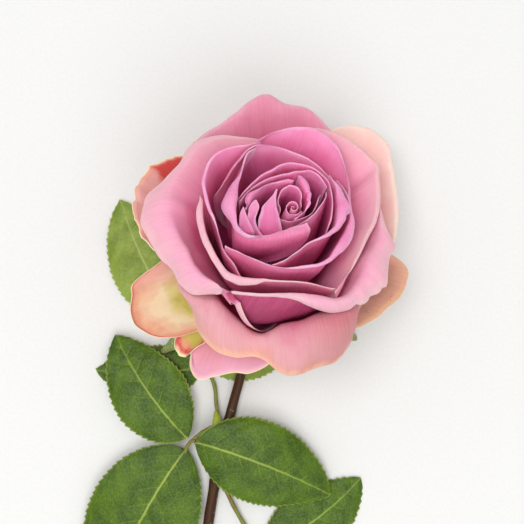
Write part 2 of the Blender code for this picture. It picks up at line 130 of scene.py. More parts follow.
# %% [markdown]
# ## From points to a piece
# Every piece of the rose is a mesh that rides with the plant and takes the place of one plain solid. The
# first helper puts a mesh into the scene, the second stores a measure on its points for the finishes to
# read, and the third says which solid the piece stands for.

# %% Make a piece


def new_piece(name, places_mm, faces, finishes, finish_of=None, smooth=True):
    """A mesh from points in the plant's measures; finish_of numbers the finish of each face."""
    mesh = bpy.data.meshes.new(name)
    places = (np.reshape(places_mm, (-1, 3)) + PLANT_SHIFT) * MM
    mesh.from_pydata(places.tolist(), [], faces)
    for finish in finishes:
        mesh.materials.append(finish)
    if finish_of is not None:
        mesh.polygons.foreach_set("material_index", finish_of.astype(np.int32))
    mesh.polygons.foreach_set("use_smooth", np.full(len(faces), smooth))
    mesh.update()
    piece = bpy.data.objects.new(name, mesh)
    bpy.context.scene.collection.objects.link(piece)
    return piece


def store(piece, name, values):
    held = piece.data.attributes.new(name, "FLOAT", "POINT")
    held.data.foreach_set("value", np.asarray(values, np.float32).ravel())


def stands_for(piece, node):
    """The piece rides with the rose and takes its solid's place."""
    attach(piece, "root")
    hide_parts(node)


print("piece helpers ready")

# %% [markdown]
# ## A sheet with two faces
# Blender could give a flat sheet thickness with Solidify, but a petal is thicker at its claw than at its
# rim, and its two faces have different colours. So a sheet here is two grids of points, sewn together
# along their borders, with one finish for each face. Each point keeps how far up the sheet it is, how far
# from its free edge, and its place in millimetres, so that veins and rims follow the sheet however it
# curls.

# %% Sew a sheet


def two_faced(name, front, back, finishes):
    """A closed sheet from two grids: front is the face that its normals look out of, back the other."""
    rows, columns = front.shape[:2]
    count = rows * columns
    loop = edge_loop(rows, columns)
    after = np.roll(loop, -1)
    sewn = np.stack([after, loop, loop + count, after + count], -1)
    faces = np.concatenate([grid_faces(rows, columns), grid_faces(rows, columns, count)[:, ::-1], sewn])
    if (normals_of(front) * (front - back)).sum() < 0:
        faces = faces[:, ::-1]
    cells = (rows - 1) * (columns - 1)
    face_of = np.repeat([0, 1, 0], [cells, cells, len(loop)])
    piece = new_piece(name, np.stack([front, back]), faces.tolist(), finishes, face_of)
    across, along = lengths(front, 1), lengths(front, 0)
    measures = {
        "height": along / along[-1:],
        "edge_mm": np.minimum(from_sides(across), along[-1:] - along),
        "across_mm": across - across[:, -1:] / 2,
        "along_mm": along,
        "side": np.broadcast_to(np.linspace(-1, 1, columns), (rows, columns)),
    }
    for measure, values in measures.items():
        store(piece, measure, np.tile(values.ravel(), 2))
    return piece


print("each point of a sheet stores height, edge_mm, across_mm, along_mm and side")

# %% [markdown]
# ## Small helpers for finishes
# Colours are written as the hex values that a paint chart gives and turned to linear light by one
# function. One more function adds a node, sets what it is given and links what is linked. A third starts
# a finish with the numbers that are the same all over it. Every finish below uses just these.

# %% Colours and nodes


def linear(hex_colour):
    channels = [int(hex_colour[k:k + 2], 16) / 255 for k in (1, 3, 5)]
    return [c / 12.92 if c <= 0.04045 else ((c + 0.055) / 1.055) ** 2.4 for c in channels] + [1.0]


def add(tree, kind, inputs=(), out=0, stops=(), **settings):
    """Adds a node and returns one of its outputs. Inputs maps sockets to values, or to outputs to link from;
    stops are a colour ramp's places, from 0 to 1, and their colours."""
    node = tree.nodes.new("ShaderNode" + kind)
    for setting, value in settings.items():
        setattr(node, setting, value)
    for socket, value in dict(inputs).items():
        if isinstance(value, bpy.types.NodeSocket):
            tree.links.new(value, node.inputs[socket])
        else:
            node.inputs[socket].default_value = value
    if stops:
        node.color_ramp.interpolation = "EASE"
        for place, _ in stops[1:-1]:
            node.color_ramp.elements.new(place)
        for element, (_, colour) in zip(node.color_ramp.elements, stops):
            element.color = linear(colour)
    return node.outputs[out]


def new_finish(name, **sockets):
    """A material with its shader's constant sockets set, ready for its pattern."""
    finish = bpy.data.materials.new(name)
    finish.use_nodes = True
    shader = finish.node_tree.nodes["Principled BSDF"]
    for socket, value in sockets.items():
        shader.inputs[socket.replace("_", " ")].default_value = value
    return finish, finish.node_tree, shader.inputs


# Settings that many nodes share: a colour mix, whose result is output 2, and a range that eases in and out.
COLOUR = {"out": 2, "data_type": "RGBA"}
EASED = {"interpolation_type": "SMOOTHSTEP"}
print("mid grey #808080 is", round(linear("#808080")[0], 3), "in linear light")

# %% [markdown]
# ## Petal tissue
# A rose petal is a skin of tiny cone-shaped cells over a thin, wet, spongy layer. The cones scatter light
# softly, which gives the velvet look, and the wet layer lets light through, so that a petal glows where
# another petal's light falls on it. The face that looks into the bloom is paler and cooler near the rim
# and deepens to magenta at the claw. The outer face is duskier. Old outer petals bleach to salmon and
# cream at their rims. An image could hold such a colour; a ramp from claw to rim is easier to move, and a
# soft blotch, 7 mm across, keeps any of its colours from ending in a straight line.

# %% Petal colour
BLOTCH_MM = 7.0
BLOTCH_WANDER = 0.30
RIM_WOBBLE = 2.4


def sheet_place(tree, across_scale, along_scale):
    """The place on the sheet in millimetres, scaled for a pattern."""
    across = add(tree, "Attribute", out="Fac", attribute_name="across_mm")
    along = add(tree, "Attribute", out="Fac", attribute_name="along_mm")
    place = add(tree, "CombineXYZ", {"X": across, "Y": along})
    return add(tree, "VectorMath", {0: place, 1: (across_scale, along_scale, 0)}, operation="MULTIPLY")


def petal_colour(tree, blotch, stops, rim, edge, rim_mm, edge_mm, side_blush_and_shade):
    """Stops colour a petal from claw to rim, and rim and edge tint its last millimetres. The side tint
    colours
    one side: a real blush on two guard petals, painted shade on the lowest petal.
    """
    height = add(tree, "Attribute", out="Fac", attribute_name="height")
    to_edge = add(tree, "Attribute", out="Fac", attribute_name="edge_mm")
    from_mean = add(tree, "Math", {0: blotch, 1: 0.5}, operation="SUBTRACT")
    wander = add(tree, "Math", {0: from_mean, 1: BLOTCH_WANDER}, operation="MULTIPLY")
    up = add(tree, "Math", {0: height, 1: wander}, operation="ADD")
    colour = add(tree, "ValToRGB", {0: up}, stops=stops)
    # The side tint is a real blush on two guard petals and painted shade on the lowest petal's inner face.
    if side_blush_and_shade:
        blush_and_shade_colour, none_at, full_at, most = side_blush_and_shade
        side = add(tree, "Attribute", out="Fac", attribute_name="side")
        beside = add(tree, "Math", {0: side, 1: wander}, operation="ADD")
        share = add(tree, "MapRange", {0: beside, 1: none_at, 2: full_at, 4: most}, **EASED)
        colour = add(tree, "Mix", {0: share, 6: colour, 7: linear(blush_and_shade_colour)}, **COLOUR)
    wobble = add(tree, "Math", {0: from_mean, 1: RIM_WOBBLE * rim_mm}, operation="MULTIPLY")
    uneven = add(tree, "Math", {0: to_edge, 1: wobble}, operation="ADD")
    for away, width, tint in ((uneven, rim_mm, rim), (to_edge, edge_mm, edge)):
        share = add(tree, "MapRange", {0: away, 1: width, 2: 0.0}, **EASED)
        colour = add(tree, "Mix", {0: share, 6: colour, 7: linear(tint)}, **COLOUR)
    return colour


print("petal colours wander by", BLOTCH_WANDER / 2, "of a petal's height in blotches of", BLOTCH_MM, "mm")

# %% [markdown]
# ## Petal veins and relief
# Veins run from claw to rim and fork as they go; here they are a noise drawn out along the petal. Its
# grain is 0.45 mm across, which is coarser than real veins, so that they show. They darken and lighten
# the colour and raise fine ribs, and the blotches raise soft folds. Some old petals have freckles as
# well.

# %% Petal finish
VEIN_SPACING_MM = 0.45
VEIN_LENGTH_MM = 14.0
VEIN_SHADE, VEIN_LIGHT = "#dba0b4", "#ffffff"
FRECKLES_PER_BLOTCH = 3.1
PETAL_GLOW_MM = 0.8


def petal_finish(
    name, stops, rim, edge, rim_mm=3.0, edge_mm=0.3, vein=0.10, glow=0.7, freckle=None, side_blush_and_shade=None
):
    """One velvety petal face; vein and glow are shares, freckle is a colour."""
    finish, tree, shader = new_finish(
        name,
        Roughness=0.62,
        Subsurface_Weight=glow,
        Subsurface_Scale=PETAL_GLOW_MM * MM,
        Subsurface_Radius=(1.0, 0.45, 0.6),
        Specular_IOR_Level=0.22,
    )
    blotch_at = sheet_place(tree, 1 / BLOTCH_MM, 1 / BLOTCH_MM)
    blotch = add(tree, "TexNoise", {"Vector": blotch_at, "Scale": 1.0, "Detail": 4.0})
    colour = petal_colour(tree, blotch, stops, rim, edge, rim_mm, edge_mm, side_blush_and_shade)

    vein_at = sheet_place(tree, 1 / VEIN_SPACING_MM, 1 / VEIN_LENGTH_MM)
    veins = add(tree, "TexNoise", {"Vector": vein_at, "Scale": 1.0, "Detail": 3.0, "Distortion": 0.35})
    dark = add(tree, "Mix", {0: 1.0, 6: colour, 7: linear(VEIN_SHADE)}, blend_type="MULTIPLY", **COLOUR)
    light = add(tree, "Mix", {0: 0.22, 6: colour, 7: linear(VEIN_LIGHT)}, blend_type="SCREEN", **COLOUR)
    between_veins = add(tree, "MapRange", {0: veins, 1: 0.34, 2: 0.66}, **EASED)
    veined = add(tree, "Mix", {0: between_veins, 6: dark, 7: light}, **COLOUR)
    colour = add(tree, "Mix", {0: vein, 6: colour, 7: veined}, **COLOUR)
    if freckle:
        spots = add(tree, "TexNoise", {"Vector": blotch_at, "Scale": FRECKLES_PER_BLOTCH, "Detail": 5.0})
        share = add(tree, "MapRange", {0: spots, 1: 0.62, 2: 0.78}, **EASED)
        colour = add(tree, "Mix", {0: share, 6: colour, 7: linear(freckle)}, **COLOUR)
    tree.links.new(colour, shader["Base Color"])

    ribs = add(tree, "Bump", {"Height": veins, "Strength": 0.1, "Distance": 0.12 * MM})
    folds = add(tree, "Bump", {"Height": blotch, "Strength": 0.25, "Distance": 0.5 * MM, "Normal": ribs})
    tree.links.new(folds, shader["Normal"])
    return finish


print("petal veins", VEIN_SPACING_MM, "mm apart and", VEIN_LENGTH_MM, "mm long")

# %% [markdown]
# ## Colours of the inner petals
# The heart is the youngest part of the bloom and the deepest in colour, with light passed from petal to
# petal. The middle petals fade towards their rims. Each kind has one finish for the face that looks in
# and one for the face that looks out.

# %% Heart and middle petal finishes
HEART_INSIDE = petal_finish(
    "rose_petal_heart_inside",
    ((0.0, "#c42a74"), (0.5, "#d0468a"), (0.82, "#de68a0"), (1.0, "#ea8cb6")),
    rim="#f0a2c4", edge="#f4b0cb", rim_mm=1.2, edge_mm=0.2,
)
HEART_OUTSIDE = petal_finish(
    "rose_petal_heart_outside",
    ((0.0, "#cc3c80"), (0.5, "#da5f98"), (0.82, "#e47aaa"), (1.0, "#ec90b8")),
    rim="#f0a2c4", edge="#f4b0cb", rim_mm=1.0, edge_mm=0.2,
)
MIDDLE_INSIDE = petal_finish(
    "rose_petal_middle_inside",
    ((0.0, "#c02c74"), (0.4, "#d04a8c"), (0.7, "#de72a6"), (1.0, "#ea98be")),
    rim="#f2b0c9", edge="#f6c2d4", rim_mm=2.0, edge_mm=0.25,
)
MIDDLE_OUTSIDE = petal_finish(
    "rose_petal_middle_outside",
    ((0.0, "#c84682"), (0.45, "#d65e94"), (0.8, "#de72a2"), (1.0, "#e484a9")),
    rim="#ea96b6", edge="#f3b4ca", rim_mm=1.0, edge_mm=0.25,
)
print("heart and middle petals: 4 finishes")

# %% [markdown]
# ## Colours of the outer petals
# The outer petals have had the most sun. They keep magenta only at the claw, turn to a soft pink over the
# shoulder and to salmon at the rim. The outer face of the petal at the front is painted a deep wine red as
# painted shade for the shadow that it lies in. The top petal's inner face is a duskier copy of the other
# outer petals' inner face, painted shade for the shadow over it. The one that hangs lowest is salmon. Towards
# its claw its inner face turns wine red, partly its own colour and partly painted shade under the petal
# above it, and one side is painted dusky as the shadow of the front petal's rolled lip.

# %% Outer petal finishes
OUTER_INSIDE = petal_finish(
    "rose_petal_outer_inside",
    ((0.0, "#c03072"), (0.38, "#d4558e"), (0.56, "#de7aa4"), (0.72, "#e8a0bc"), (1.0, "#e8aebb")),
    rim="#edb6bb", edge="#efc4ba", rim_mm=4.0, edge_mm=0.3,
)
OUTER_OUTSIDE = petal_finish(
    "rose_petal_outer_outside",
    ((0.0, "#c24c7c"), (0.4, "#c9527f"), (0.8, "#d46a94"), (1.0, "#de88a6")),
    rim="#e29cac", edge="#ecb9b2", rim_mm=1.8, edge_mm=0.3,
)
# Painted shade: a duskier copy of the outer petals' inner face, for the shadow over the top petal.
TOP_INSIDE_SHADED = petal_finish(
    "rose_petal_top_inside_painted_shade",
    ((0.0, "#c03072"), (0.5, "#c6648e"), (0.8, "#d2829e"), (1.0, "#dc96ac")),
    rim="#e0a4b2", edge="#ecbfb9", rim_mm=3.0, edge_mm=0.3,
)
# Painted shade: a darker copy of the outer face, for the shadow that the front petal's outer face lies in.
FRONT_OUTSIDE_SHADED = petal_finish(
    "rose_petal_front_outside_painted_shade",
    ((0.0, "#70163c"), (0.5, "#7e1e46"), (0.75, "#99335c"), (0.92, "#ad446c"), (1.0, "#c66a8a")),
    rim="#d686a0", edge="#ecb9b2", rim_mm=1.4, edge_mm=0.3,
)
# Painted shade: the dark wine red up to half the height is partly the claw's own colour and partly the shade
# under the outer petal's rim.
SALMON_INSIDE_SHADED = petal_finish(
    "rose_petal_salmon_inside_painted_shade",
    (
        (0.0, "#a01c54"), (0.53, "#a82a5e"), (0.62, "#c9608a"), (0.70, "#d08a9a"), (0.86, "#d69fa5"),
        (1.0, "#d69b8e"),
    ),
    # The dusky side tint here is painted shade, the shadow of the front petal's rolled lip.
    rim="#e4ad97", edge="#f0cda0", rim_mm=3.0, edge_mm=0.4, side_blush_and_shade=("#b26c6c", 0.15, 0.8, 0.65),
)
SALMON_OUTSIDE = petal_finish(
    "rose_petal_salmon_outside",
    ((0.0, "#c9c27a"), (0.2, "#cf8a80"), (0.7, "#d4808e"), (1.0, "#d99488")),
    rim="#dd9c88", edge="#eccb98", rim_mm=2.6, edge_mm=0.5,
)
print("outer petals: 6 finishes")

# %% [markdown]
# ## Colours of the guard petals
# The outermost petals shield the bud, so they are bleached, bruised and scorched by sun: pale peach or
# cream, a green-yellow claw, a dry red-brown rim. They have the same tissue, so they use the same finish
# with other colours, less glow and fainter veins.

# %% Guard petal finishes
GUARD_PEACH = petal_finish(
    "rose_guard_petal_peach",
    ((0.0, "#c8c070"), (0.3, "#dcaf92"), (0.6, "#e4b2ae"), (0.85, "#f1c8c0"), (1.0, "#f7d8cb")),
    rim="#f6d5c4", edge="#fae3cf", rim_mm=4.0, vein=0.08,
)
GUARD_TAN = petal_finish(
    "rose_guard_petal_tan",
    ((0.0, "#c9bd6a"), (0.3, "#b98a72"), (0.75, "#c0907e"), (1.0, "#d8a78e")),
    rim="#dbab88", edge="#e8c78e", rim_mm=3.5, glow=0.35, freckle="#b0705e",
)
GUARD_CREAM = petal_finish(
    "rose_guard_petal_cream",
    (
        (0.0, "#bcc657"), (0.58, "#c9c966"), (0.66, "#dcd68c"), (0.74, "#eedfb6"), (0.86, "#e6c29e"),
        (1.0, "#d8987a"),
    ),
    rim="#c9523f", edge="#f3e2ba", rim_mm=1.3, edge_mm=0.6, vein=0.08, glow=0.3,
    side_blush_and_shade=("#e0a59c", -0.3, -0.9, 0.9),
)
GUARD_ROSE = petal_finish(
    "rose_guard_petal_rosy",
    ((0.0, "#cdc26a"), (0.3, "#d9a184"), (0.75, "#dba39c"), (0.92, "#e2a9a2"), (1.0, "#dfa090")),
    rim="#e2a48a", edge="#f2deb4", rim_mm=1.6, edge_mm=0.8, glow=0.3, side_blush_and_shade=("#c9443f", 0.0, -0.12, 1.0),
)
GUARD_PINK = petal_finish(
    "rose_guard_petal_pink",
    ((0.0, "#cfca6e"), (0.35, "#dfa79a"), (0.6, "#eaa9b8"), (1.0, "#eeb0c2")),
    rim="#efb4bf", edge="#f1d9a2", rim_mm=2.2, edge_mm=0.8, vein=0.08,
)
GUARD_BACK = petal_finish(
    "rose_guard_petal_back",
    ((0.0, "#c5c272"), (0.3, "#d0a07c"), (0.7, "#d88d8c"), (1.0, "#dd9a94")),
    rim="#dfa290", edge="#edcfa0", rim_mm=2.4, edge_mm=0.6,
)
GUARD_STUNTED = petal_finish(
    "rose_guard_petal_stunted",
    ((0.0, "#c9cc5e"), (0.86, "#cfcb68"), (0.90, "#e0b080"), (0.94, "#d65a62"), (1.0, "#d4606a")),
    rim="#ecd7a4", edge="#f3e6bc", rim_mm=1.8, edge_mm=0.6, vein=0.08, glow=0.3,
)
FINISHES = {
    "heart": (HEART_INSIDE, HEART_OUTSIDE),
    "inner": (HEART_INSIDE, HEART_OUTSIDE),
    "middle": (MIDDLE_INSIDE, MIDDLE_OUTSIDE),
    "outer": (OUTER_INSIDE, OUTER_OUTSIDE),
    "outer_top": (TOP_INSIDE_SHADED, OUTER_OUTSIDE),
    "outer_front_2": (OUTER_INSIDE, FRONT_OUTSIDE_SHADED),
    "lower_front": (SALMON_INSIDE_SHADED, SALMON_OUTSIDE),
    "guard_right_upper": (GUARD_PEACH, GUARD_PEACH),
    "guard_left_upper": (GUARD_ROSE, GUARD_BACK),
    "guard_right_lower": (GUARD_TAN, GUARD_TAN),
    "guard_left_lower": (GUARD_CREAM, GUARD_BACK),
    "guard_stunted": (GUARD_STUNTED, GUARD_STUNTED),
    "guard_front": (GUARD_PINK, GUARD_PINK),
    "guard_back": (GUARD_BACK, GUARD_BACK),
}
print("guard petals: 7 finishes;", len(FINISHES), "kinds of petal have theirs")

# %% [markdown]
# ## How the petals nest
# A rose opens from a bud, so every petal was once wrapped round the ones inside it, and none of them
# cross. Cloth simulation could find such a rest, but slowly and never twice the same. Instead each petal
# is a grid given by its azimuth round the bloom's axis, its distance from the receptacle and its angle
# from the axis. Petals are laid on from the heart outwards. For each azimuth and distance a running chart
# keeps the widest angle reached so far.

# %% The chart of angles
CHART_FROM_MM = 6.0
CHART_CELL_MM = 0.4
CHART_CELLS = 150
CHART_FINENESS = 4
chart = np.zeros((360, CHART_CELLS))


def to_polar(points):
    flat = np.hypot(points[..., 0], points[..., 1])
    azimuth = np.degrees(np.arctan2(points[..., 1], points[..., 0])) % 360
    return azimuth, np.hypot(flat, points[..., 2]), np.arctan2(flat, points[..., 2])


def to_points(azimuth, distance, angle):
    flat = distance * np.sin(angle)
    return np.stack([flat * np.cos(azimuth), flat * np.sin(azimuth), distance * np.cos(angle)], -1)


def finer(points, times):
    """Points between a grid's points."""
    rows, columns = points.shape[:2]
    v = np.linspace(0, rows - 1, (rows - 1) * times + 1)
    h = np.linspace(0, columns - 1, (columns - 1) * times + 1)
    r, c = np.minimum(v.astype(int), rows - 2), np.minimum(h.astype(int), columns - 2)
    fv, fh = (v - r)[:, None, None], (h - c)[None, :, None]
    low = (1 - fh) * points[r][:, c] + fh * points[r][:, c + 1]
    high = (1 - fh) * points[r + 1][:, c] + fh * points[r + 1][:, c + 1]
    return (1 - fv) * low + fv * high


def chart_cell(distance):
    return np.clip((distance - CHART_FROM_MM) / CHART_CELL_MM, 0, CHART_CELLS - 2)


def widen_chart(points):
    azimuth, distance, angle = to_polar(finer(points, CHART_FINENESS))
    i = np.round(azimuth).astype(int) % 360
    j = np.round(chart_cell(distance)).astype(int)
    np.maximum.at(chart, (i.ravel(), j.ravel()), angle.ravel())


def read_chart(azimuth, distance):
    i = np.floor(azimuth).astype(int) % 360
    j = chart_cell(distance).astype(int)
    k = (i + 1) % 360
    return np.max([chart[i, j], chart[k, j], chart[i, j + 1], chart[k, j + 1]], 0)


print("chart of", chart.shape, "cells")

# %% [markdown]
# ## Push a petal clear
# A new petal that would be inside the chart is pushed out until it clears the petals before it by a small
# gap. A push is spread over the cells around it, so that a petal bends aside in a soft curve, as a living
# one does, and doesn't get a step where its neighbour ends. The spread shrinks from pass to pass.

# %% Nesting
NEST_GAP_MM = 0.16
NEST_FINENESS = 3
SPREADS = (4, 2, 1, 0, 0)


def around(values, reach):
    """For each value, the square of its neighbours up to reach cells away."""
    padded = np.pad(values, reach, mode="edge")
    return np.lib.stride_tricks.sliding_window_view(padded, (2 * reach + 1, 2 * reach + 1))


def nested(azimuth, distance, angle, spreads):
    """The angles, pushed out past everything in the chart; each pass spreads its push so many cells."""
    for spread in spreads:
        at, far, now = to_polar(finer(to_points(azimuth, distance, angle), NEST_FINENESS))
        short = read_chart(at, far) + NEST_GAP_MM / far - now
        need = around(short, NEST_FINENESS)[::NEST_FINENESS, ::NEST_FINENESS].max((-1, -2))
        need = np.maximum(need, 0)
        if need.max() < 1e-5:
            break
        angle = angle + around(around(need, spread).max((-1, -2)), spread).mean((-1, -2))
    return angle


print("petals clear each other by", NEST_GAP_MM, "mm")

# %% [markdown]
# ## One column of a petal
# Seen from the side, a petal leaves the receptacle at its claw, swells outwards, rises to its shoulder
# and rolls over. That line could be a spring or a sculpted profile; a Bezier curve with a bent lip on its
# end says the same with a few numbers that can be read off a real petal: how far out and up the shoulder
# is, how much it leans, and how far out and down the lip rolls beyond it.

# %% Petal columns
CLAW_MM = 7.0
CLAW_FLARE = math.radians(14)
CLAW_LIMIT = math.radians(96)
SHOULDER_PULL = 0.42
BODY_ROWS = 26
LIP_ROWS = 16
LAST_LIP_STEP = 0.35


def curve_between(points, t):
    """Points on the cubic Bezier curve of four control points."""
    a, b, c, d = (np.asarray(p, float) for p in points)
    t = t[:, None]
    return (1 - t) ** 3 * a + 3 * t * (1 - t) ** 2 * b + 3 * t * t * (1 - t) * c + t ** 3 * d


def lip_line(lean, out, down, bend):
    """The lip's points from its shoulder, bending most at the start."""
    aim = math.atan2(out, -down)
    turn = (aim - lean) * (bend + 1) / bend
    step = np.full(LIP_ROWS, 1.0)
    step[-1] = LAST_LIP_STEP
    done = (np.cumsum(step) - step / 2) / step.sum()
    heading = lean + turn * (1 - (1 - done) ** bend)
    line = np.cumsum(np.stack([np.sin(heading), np.cos(heading)], 1) * step[:, None], 0)
    size = math.hypot(out, down) / np.linalg.norm(line[-1])
    off = aim - math.atan2(*line[-1])
    rolled = np.array([[math.cos(off), -math.sin(off)], [math.sin(off), math.cos(off)]])
    return line @ rolled * size


def column(reach, rise, lean, out, down, claw, bend, belly):
    """Points (distance from the axis, height) from claw to shoulder, then round the lip."""
    start = CLAW_MM * np.array([np.sin(claw), np.cos(claw)])
    end = np.array([reach, rise])
    length = np.linalg.norm(end - start)
    leave = min(claw + CLAW_FLARE, CLAW_LIMIT)
    first = start + belly * length * np.array([np.sin(leave), np.cos(leave)])
    last = end - SHOULDER_PULL * length * np.array([np.sin(lean), np.cos(lean)])
    body = curve_between((start, first, last, end), 1 - (1 - np.linspace(0, 1, BODY_ROWS)) ** 1.25)
    return np.concatenate([body, end + lip_line(lean, out, down, bend)])


print("rows in a petal:", BODY_ROWS + LIP_ROWS)

# %% [markdown]
# ## What makes a petal look alive
# Stations across a petal give the five measures of its columns, and the columns between them are read
# from a smooth curve. To these are added a wavy rim, notches, folds and pleats that run up the petal, and
# sides that roll back. Waves come from a few sines with fixed phases, so each run gives the same petal.
# LIFE holds what a petal has unless its table says otherwise.

# %% Life in a petal
# Shape: columns this far apart; how much the petal swells, how soon its lip bends, at what share of its
# height and how steeply it reaches its full width, and whether its left side runs straight to its claw.
# Waves: size and number along the rim, of its lean, of its lip's width, of the pleats that run up it.
# Places: notches and folds as (azimuth, depth, width); where the sides start to roll back and how far; a
# side folded over as (degrees, millimetres).
# Nesting: the spreads of its pushes, and a shift of the finished petal.
LIFE = {
    "column_mm": 1.0, "belly": 0.34, "bend": 1.3, "widens_to": 0.6, "taper": 1.0, "straight_left": False,
    "wave_mm": 0.2, "waves": 2.0, "lean_deg": 1.5, "lip_wave": 0.08, "pleats": 6.0, "pleat_mm": 0.08,
    "notches": (), "folds": (), "side_from": 0.84, "side_roll_mm": 0.5, "folded_side": None,
    "spreads": SPREADS, "shift": (0, 0),
}


def between(stations, at):
    """Rows of values read smoothly at places counted in rows."""
    padded = np.concatenate([[2 * stations[0] - stations[1]], stations, [2 * stations[-1] - stations[-2]]])
    cell = np.clip(at.astype(int), 0, len(stations) - 2)
    t = (at - cell)[:, None]
    a, b, c, d = (padded[cell + k] for k in range(4))
    return b + 0.5 * t * (c - a + t * (2 * a - 5 * b + 4 * c - d + t * (3 * (b - c) + d - a)))


def waves(seed, s, count, size):
    """A few sine waves with fixed, irregular phases."""
    draw = np.random.default_rng(seed)
    phases = draw.uniform(0, 2 * np.pi, 4)
    weights = (1.0, 0.6, 0.35, 0.2)
    steps = (1.0, 1.7, 2.9, 4.3)
    total = sum(w * np.sin(np.pi * count * k * s + p) for w, k, p in zip(weights, steps, phases))
    return size * total / 1.6


def bumps(at, places):
    """The sum of smooth bumps, each given by its centre, height and width."""
    return sum(high * np.exp(-((at - centre) / width) ** 2) for centre, high, width in places)


print("a petal can be given", ", ".join(LIFE))

# %% [markdown]
# ## A petal across
# The columns stand side by side, about a millimetre apart at the shoulder, and together make the petal's
# grid. The first petal's claw goes almost straight up and the last one's almost straight out.

# %% Columns side by side
FIRST_CLAW_DEG, LAST_CLAW_DEG = 10, 89
FEWEST_COLUMNS = 18
EDGE_STEP = 0.015
LEAST_REACH_MM = 5
# Each kind of wave has a seed of its own, counted from the petal's number.
RISE_WAVES, WIDTH_WAVES, LEAN_WAVES, PLEAT_WAVES = 20, 50, 130, 170


def spread_of(stations, column_mm):
    """Places across the petal, in rows of stations, a column apart and closer at the very edges."""
    azimuth, reach = np.radians(stations[:, 0]), stations[:, 1]
    run = np.abs(np.diff(azimuth)) * np.maximum((reach[1:] + reach[:-1]) / 2, LEAST_REACH_MM)
    along = np.concatenate([[0], np.cumsum(run)])
    columns = max(FEWEST_COLUMNS, round(along[-1] / column_mm))
    last = len(stations) - 1
    at = np.interp(np.linspace(0, along[-1], columns), along, np.arange(last + 1))
    return np.concatenate([[0, EDGE_STEP], at[1:-1], [last - EDGE_STEP, last]])


def petal_columns(number, stations, at, s, life):
    """The azimuth of each column, and its points in rows: how far from the axis, and how high."""
    azimuths, reaches, rises, leans, outs, downs = between(stations, at).T
    size, count = life["wave_mm"], life["waves"]
    reaches = reaches + waves(number, s, count, size)
    rises = rises + waves(number + RISE_WAVES, s, count, 0.7 * size)
    leans = leans + waves(number + LEAN_WAVES, s, 1.8, life["lean_deg"])
    scale = 1 + waves(number + WIDTH_WAVES, s, 2.4, life["lip_wave"]) - bumps(azimuths, life["notches"])
    scale = np.maximum(scale, 0.15) * (1 - 0.5 * np.abs(s) ** 12)
    claw = math.radians(FIRST_CLAW_DEG + (LAST_CLAW_DEG - FIRST_CLAW_DEG) * number / (len(PETALS) - 1))
    rows = zip(reaches, rises, np.radians(leans), outs * scale, downs * scale)
    return azimuths, np.stack([column(*row, claw, life["bend"], life["belly"]) for row in rows], 1)


print("claws lean from", FIRST_CLAW_DEG, "to", LAST_CLAW_DEG, "degrees")

# %% [markdown]
# ## A petal's grid
# A petal is narrow at its claw and widens on the way to its shoulder. Its pleats, its folds and the roll
# of its sides all push its surface outwards, more towards the rim than near the claw.

# %% Petal grids
PUSHED_FROM, PUSHED_OVER = 0.3, 0.6
STRAIGHT_WIDENING = 0.64


def outward_push(number, azimuths, s, life):
    """How far pleats, folds and rolled sides push each column out, in millimetres."""
    push = waves(number + PLEAT_WAVES, s, life["pleats"], life["pleat_mm"]) + bumps(azimuths, life["folds"])
    side = smooth_step((np.abs(s) - life["side_from"]) / (1 - life["side_from"]))
    return push + life["side_roll_mm"] * side ** 2


def widened_azimuths(claw_share, azimuths, s, up, life):
    """The azimuth of each point, between a narrow claw and the columns' own azimuths."""
    widened = smooth_step(up / life["widens_to"]) ** life["taper"]
    if life["straight_left"]:
        widened = widened + (up ** STRAIGHT_WIDENING - widened) * smooth_step(-2 * s)
    width = claw_share + (1 - claw_share) * widened
    middle = (azimuths[0] + azimuths[-1]) / 2
    return np.radians(middle + width * (azimuths - middle)[None, :])


def petal_grid(number, claw_share, stations, life):
    """Azimuth, distance and angle of each point of a petal."""
    stations = np.array(stations, float)
    at = spread_of(stations, life["column_mm"])
    s = 2 * at / (len(stations) - 1) - 1
    azimuths, lines = petal_columns(number, stations, at, s, life)
    flat, height = lines[..., 0], lines[..., 1]
    run = lengths(lines, 0)
    up = run / run[-1:]
    distance = np.hypot(flat, height)
    push = outward_push(number, azimuths, s, life)[None, :] * smooth_step((up - PUSHED_FROM) / PUSHED_OVER)
    angle = np.arctan2(flat, height) + push / np.maximum(distance, 1)
    azimuth = widened_azimuths(claw_share, azimuths, s, up, life)
    if life["folded_side"]:
        # The last tenth of the left side is turned back over the petal and lifted off it.
        turn_deg, lift_mm = life["folded_side"]
        past = np.clip((-0.9 - s) / 0.1, 0, 1)
        azimuth = azimuth + np.radians(turn_deg) * past
        angle = angle + lift_mm * np.sin(np.pi / 2 * np.minimum(2.5 * past, 1)) / np.maximum(distance, 1)
    return azimuth, distance, angle


print("petals are pushed out from", PUSHED_FROM, "of their height")

# %% [markdown]
# ## A pointed petal
# Three short petals in the heart are folded into points that lean over their neighbours. A shoulder and a
# lip can't describe them, so they are given by rows of three points, claw to tip, and the grid is read
# smoothly from those.

# %% Pointed petal grids
TONGUE_ROWS, TONGUE_COLUMNS = 60, 26


def tongue_grid(rows):
    """A petal given by rows of three points (azimuth, distance from the axis, height), claw to tip."""
    rows = np.array(rows, float)
    up = between(rows.reshape(len(rows), -1), np.linspace(0, len(rows) - 1, TONGUE_ROWS))
    grid = np.stack([between(row, np.linspace(0, 2, TONGUE_COLUMNS)) for row in up.reshape(-1, 3, 3)])
    azimuth, flat, height = np.radians(grid[..., 0]), grid[..., 1], grid[..., 2]
    return azimuth, np.hypot(flat, height), np.arctan2(flat, height)


print("a pointed petal has", TONGUE_ROWS, "rows")

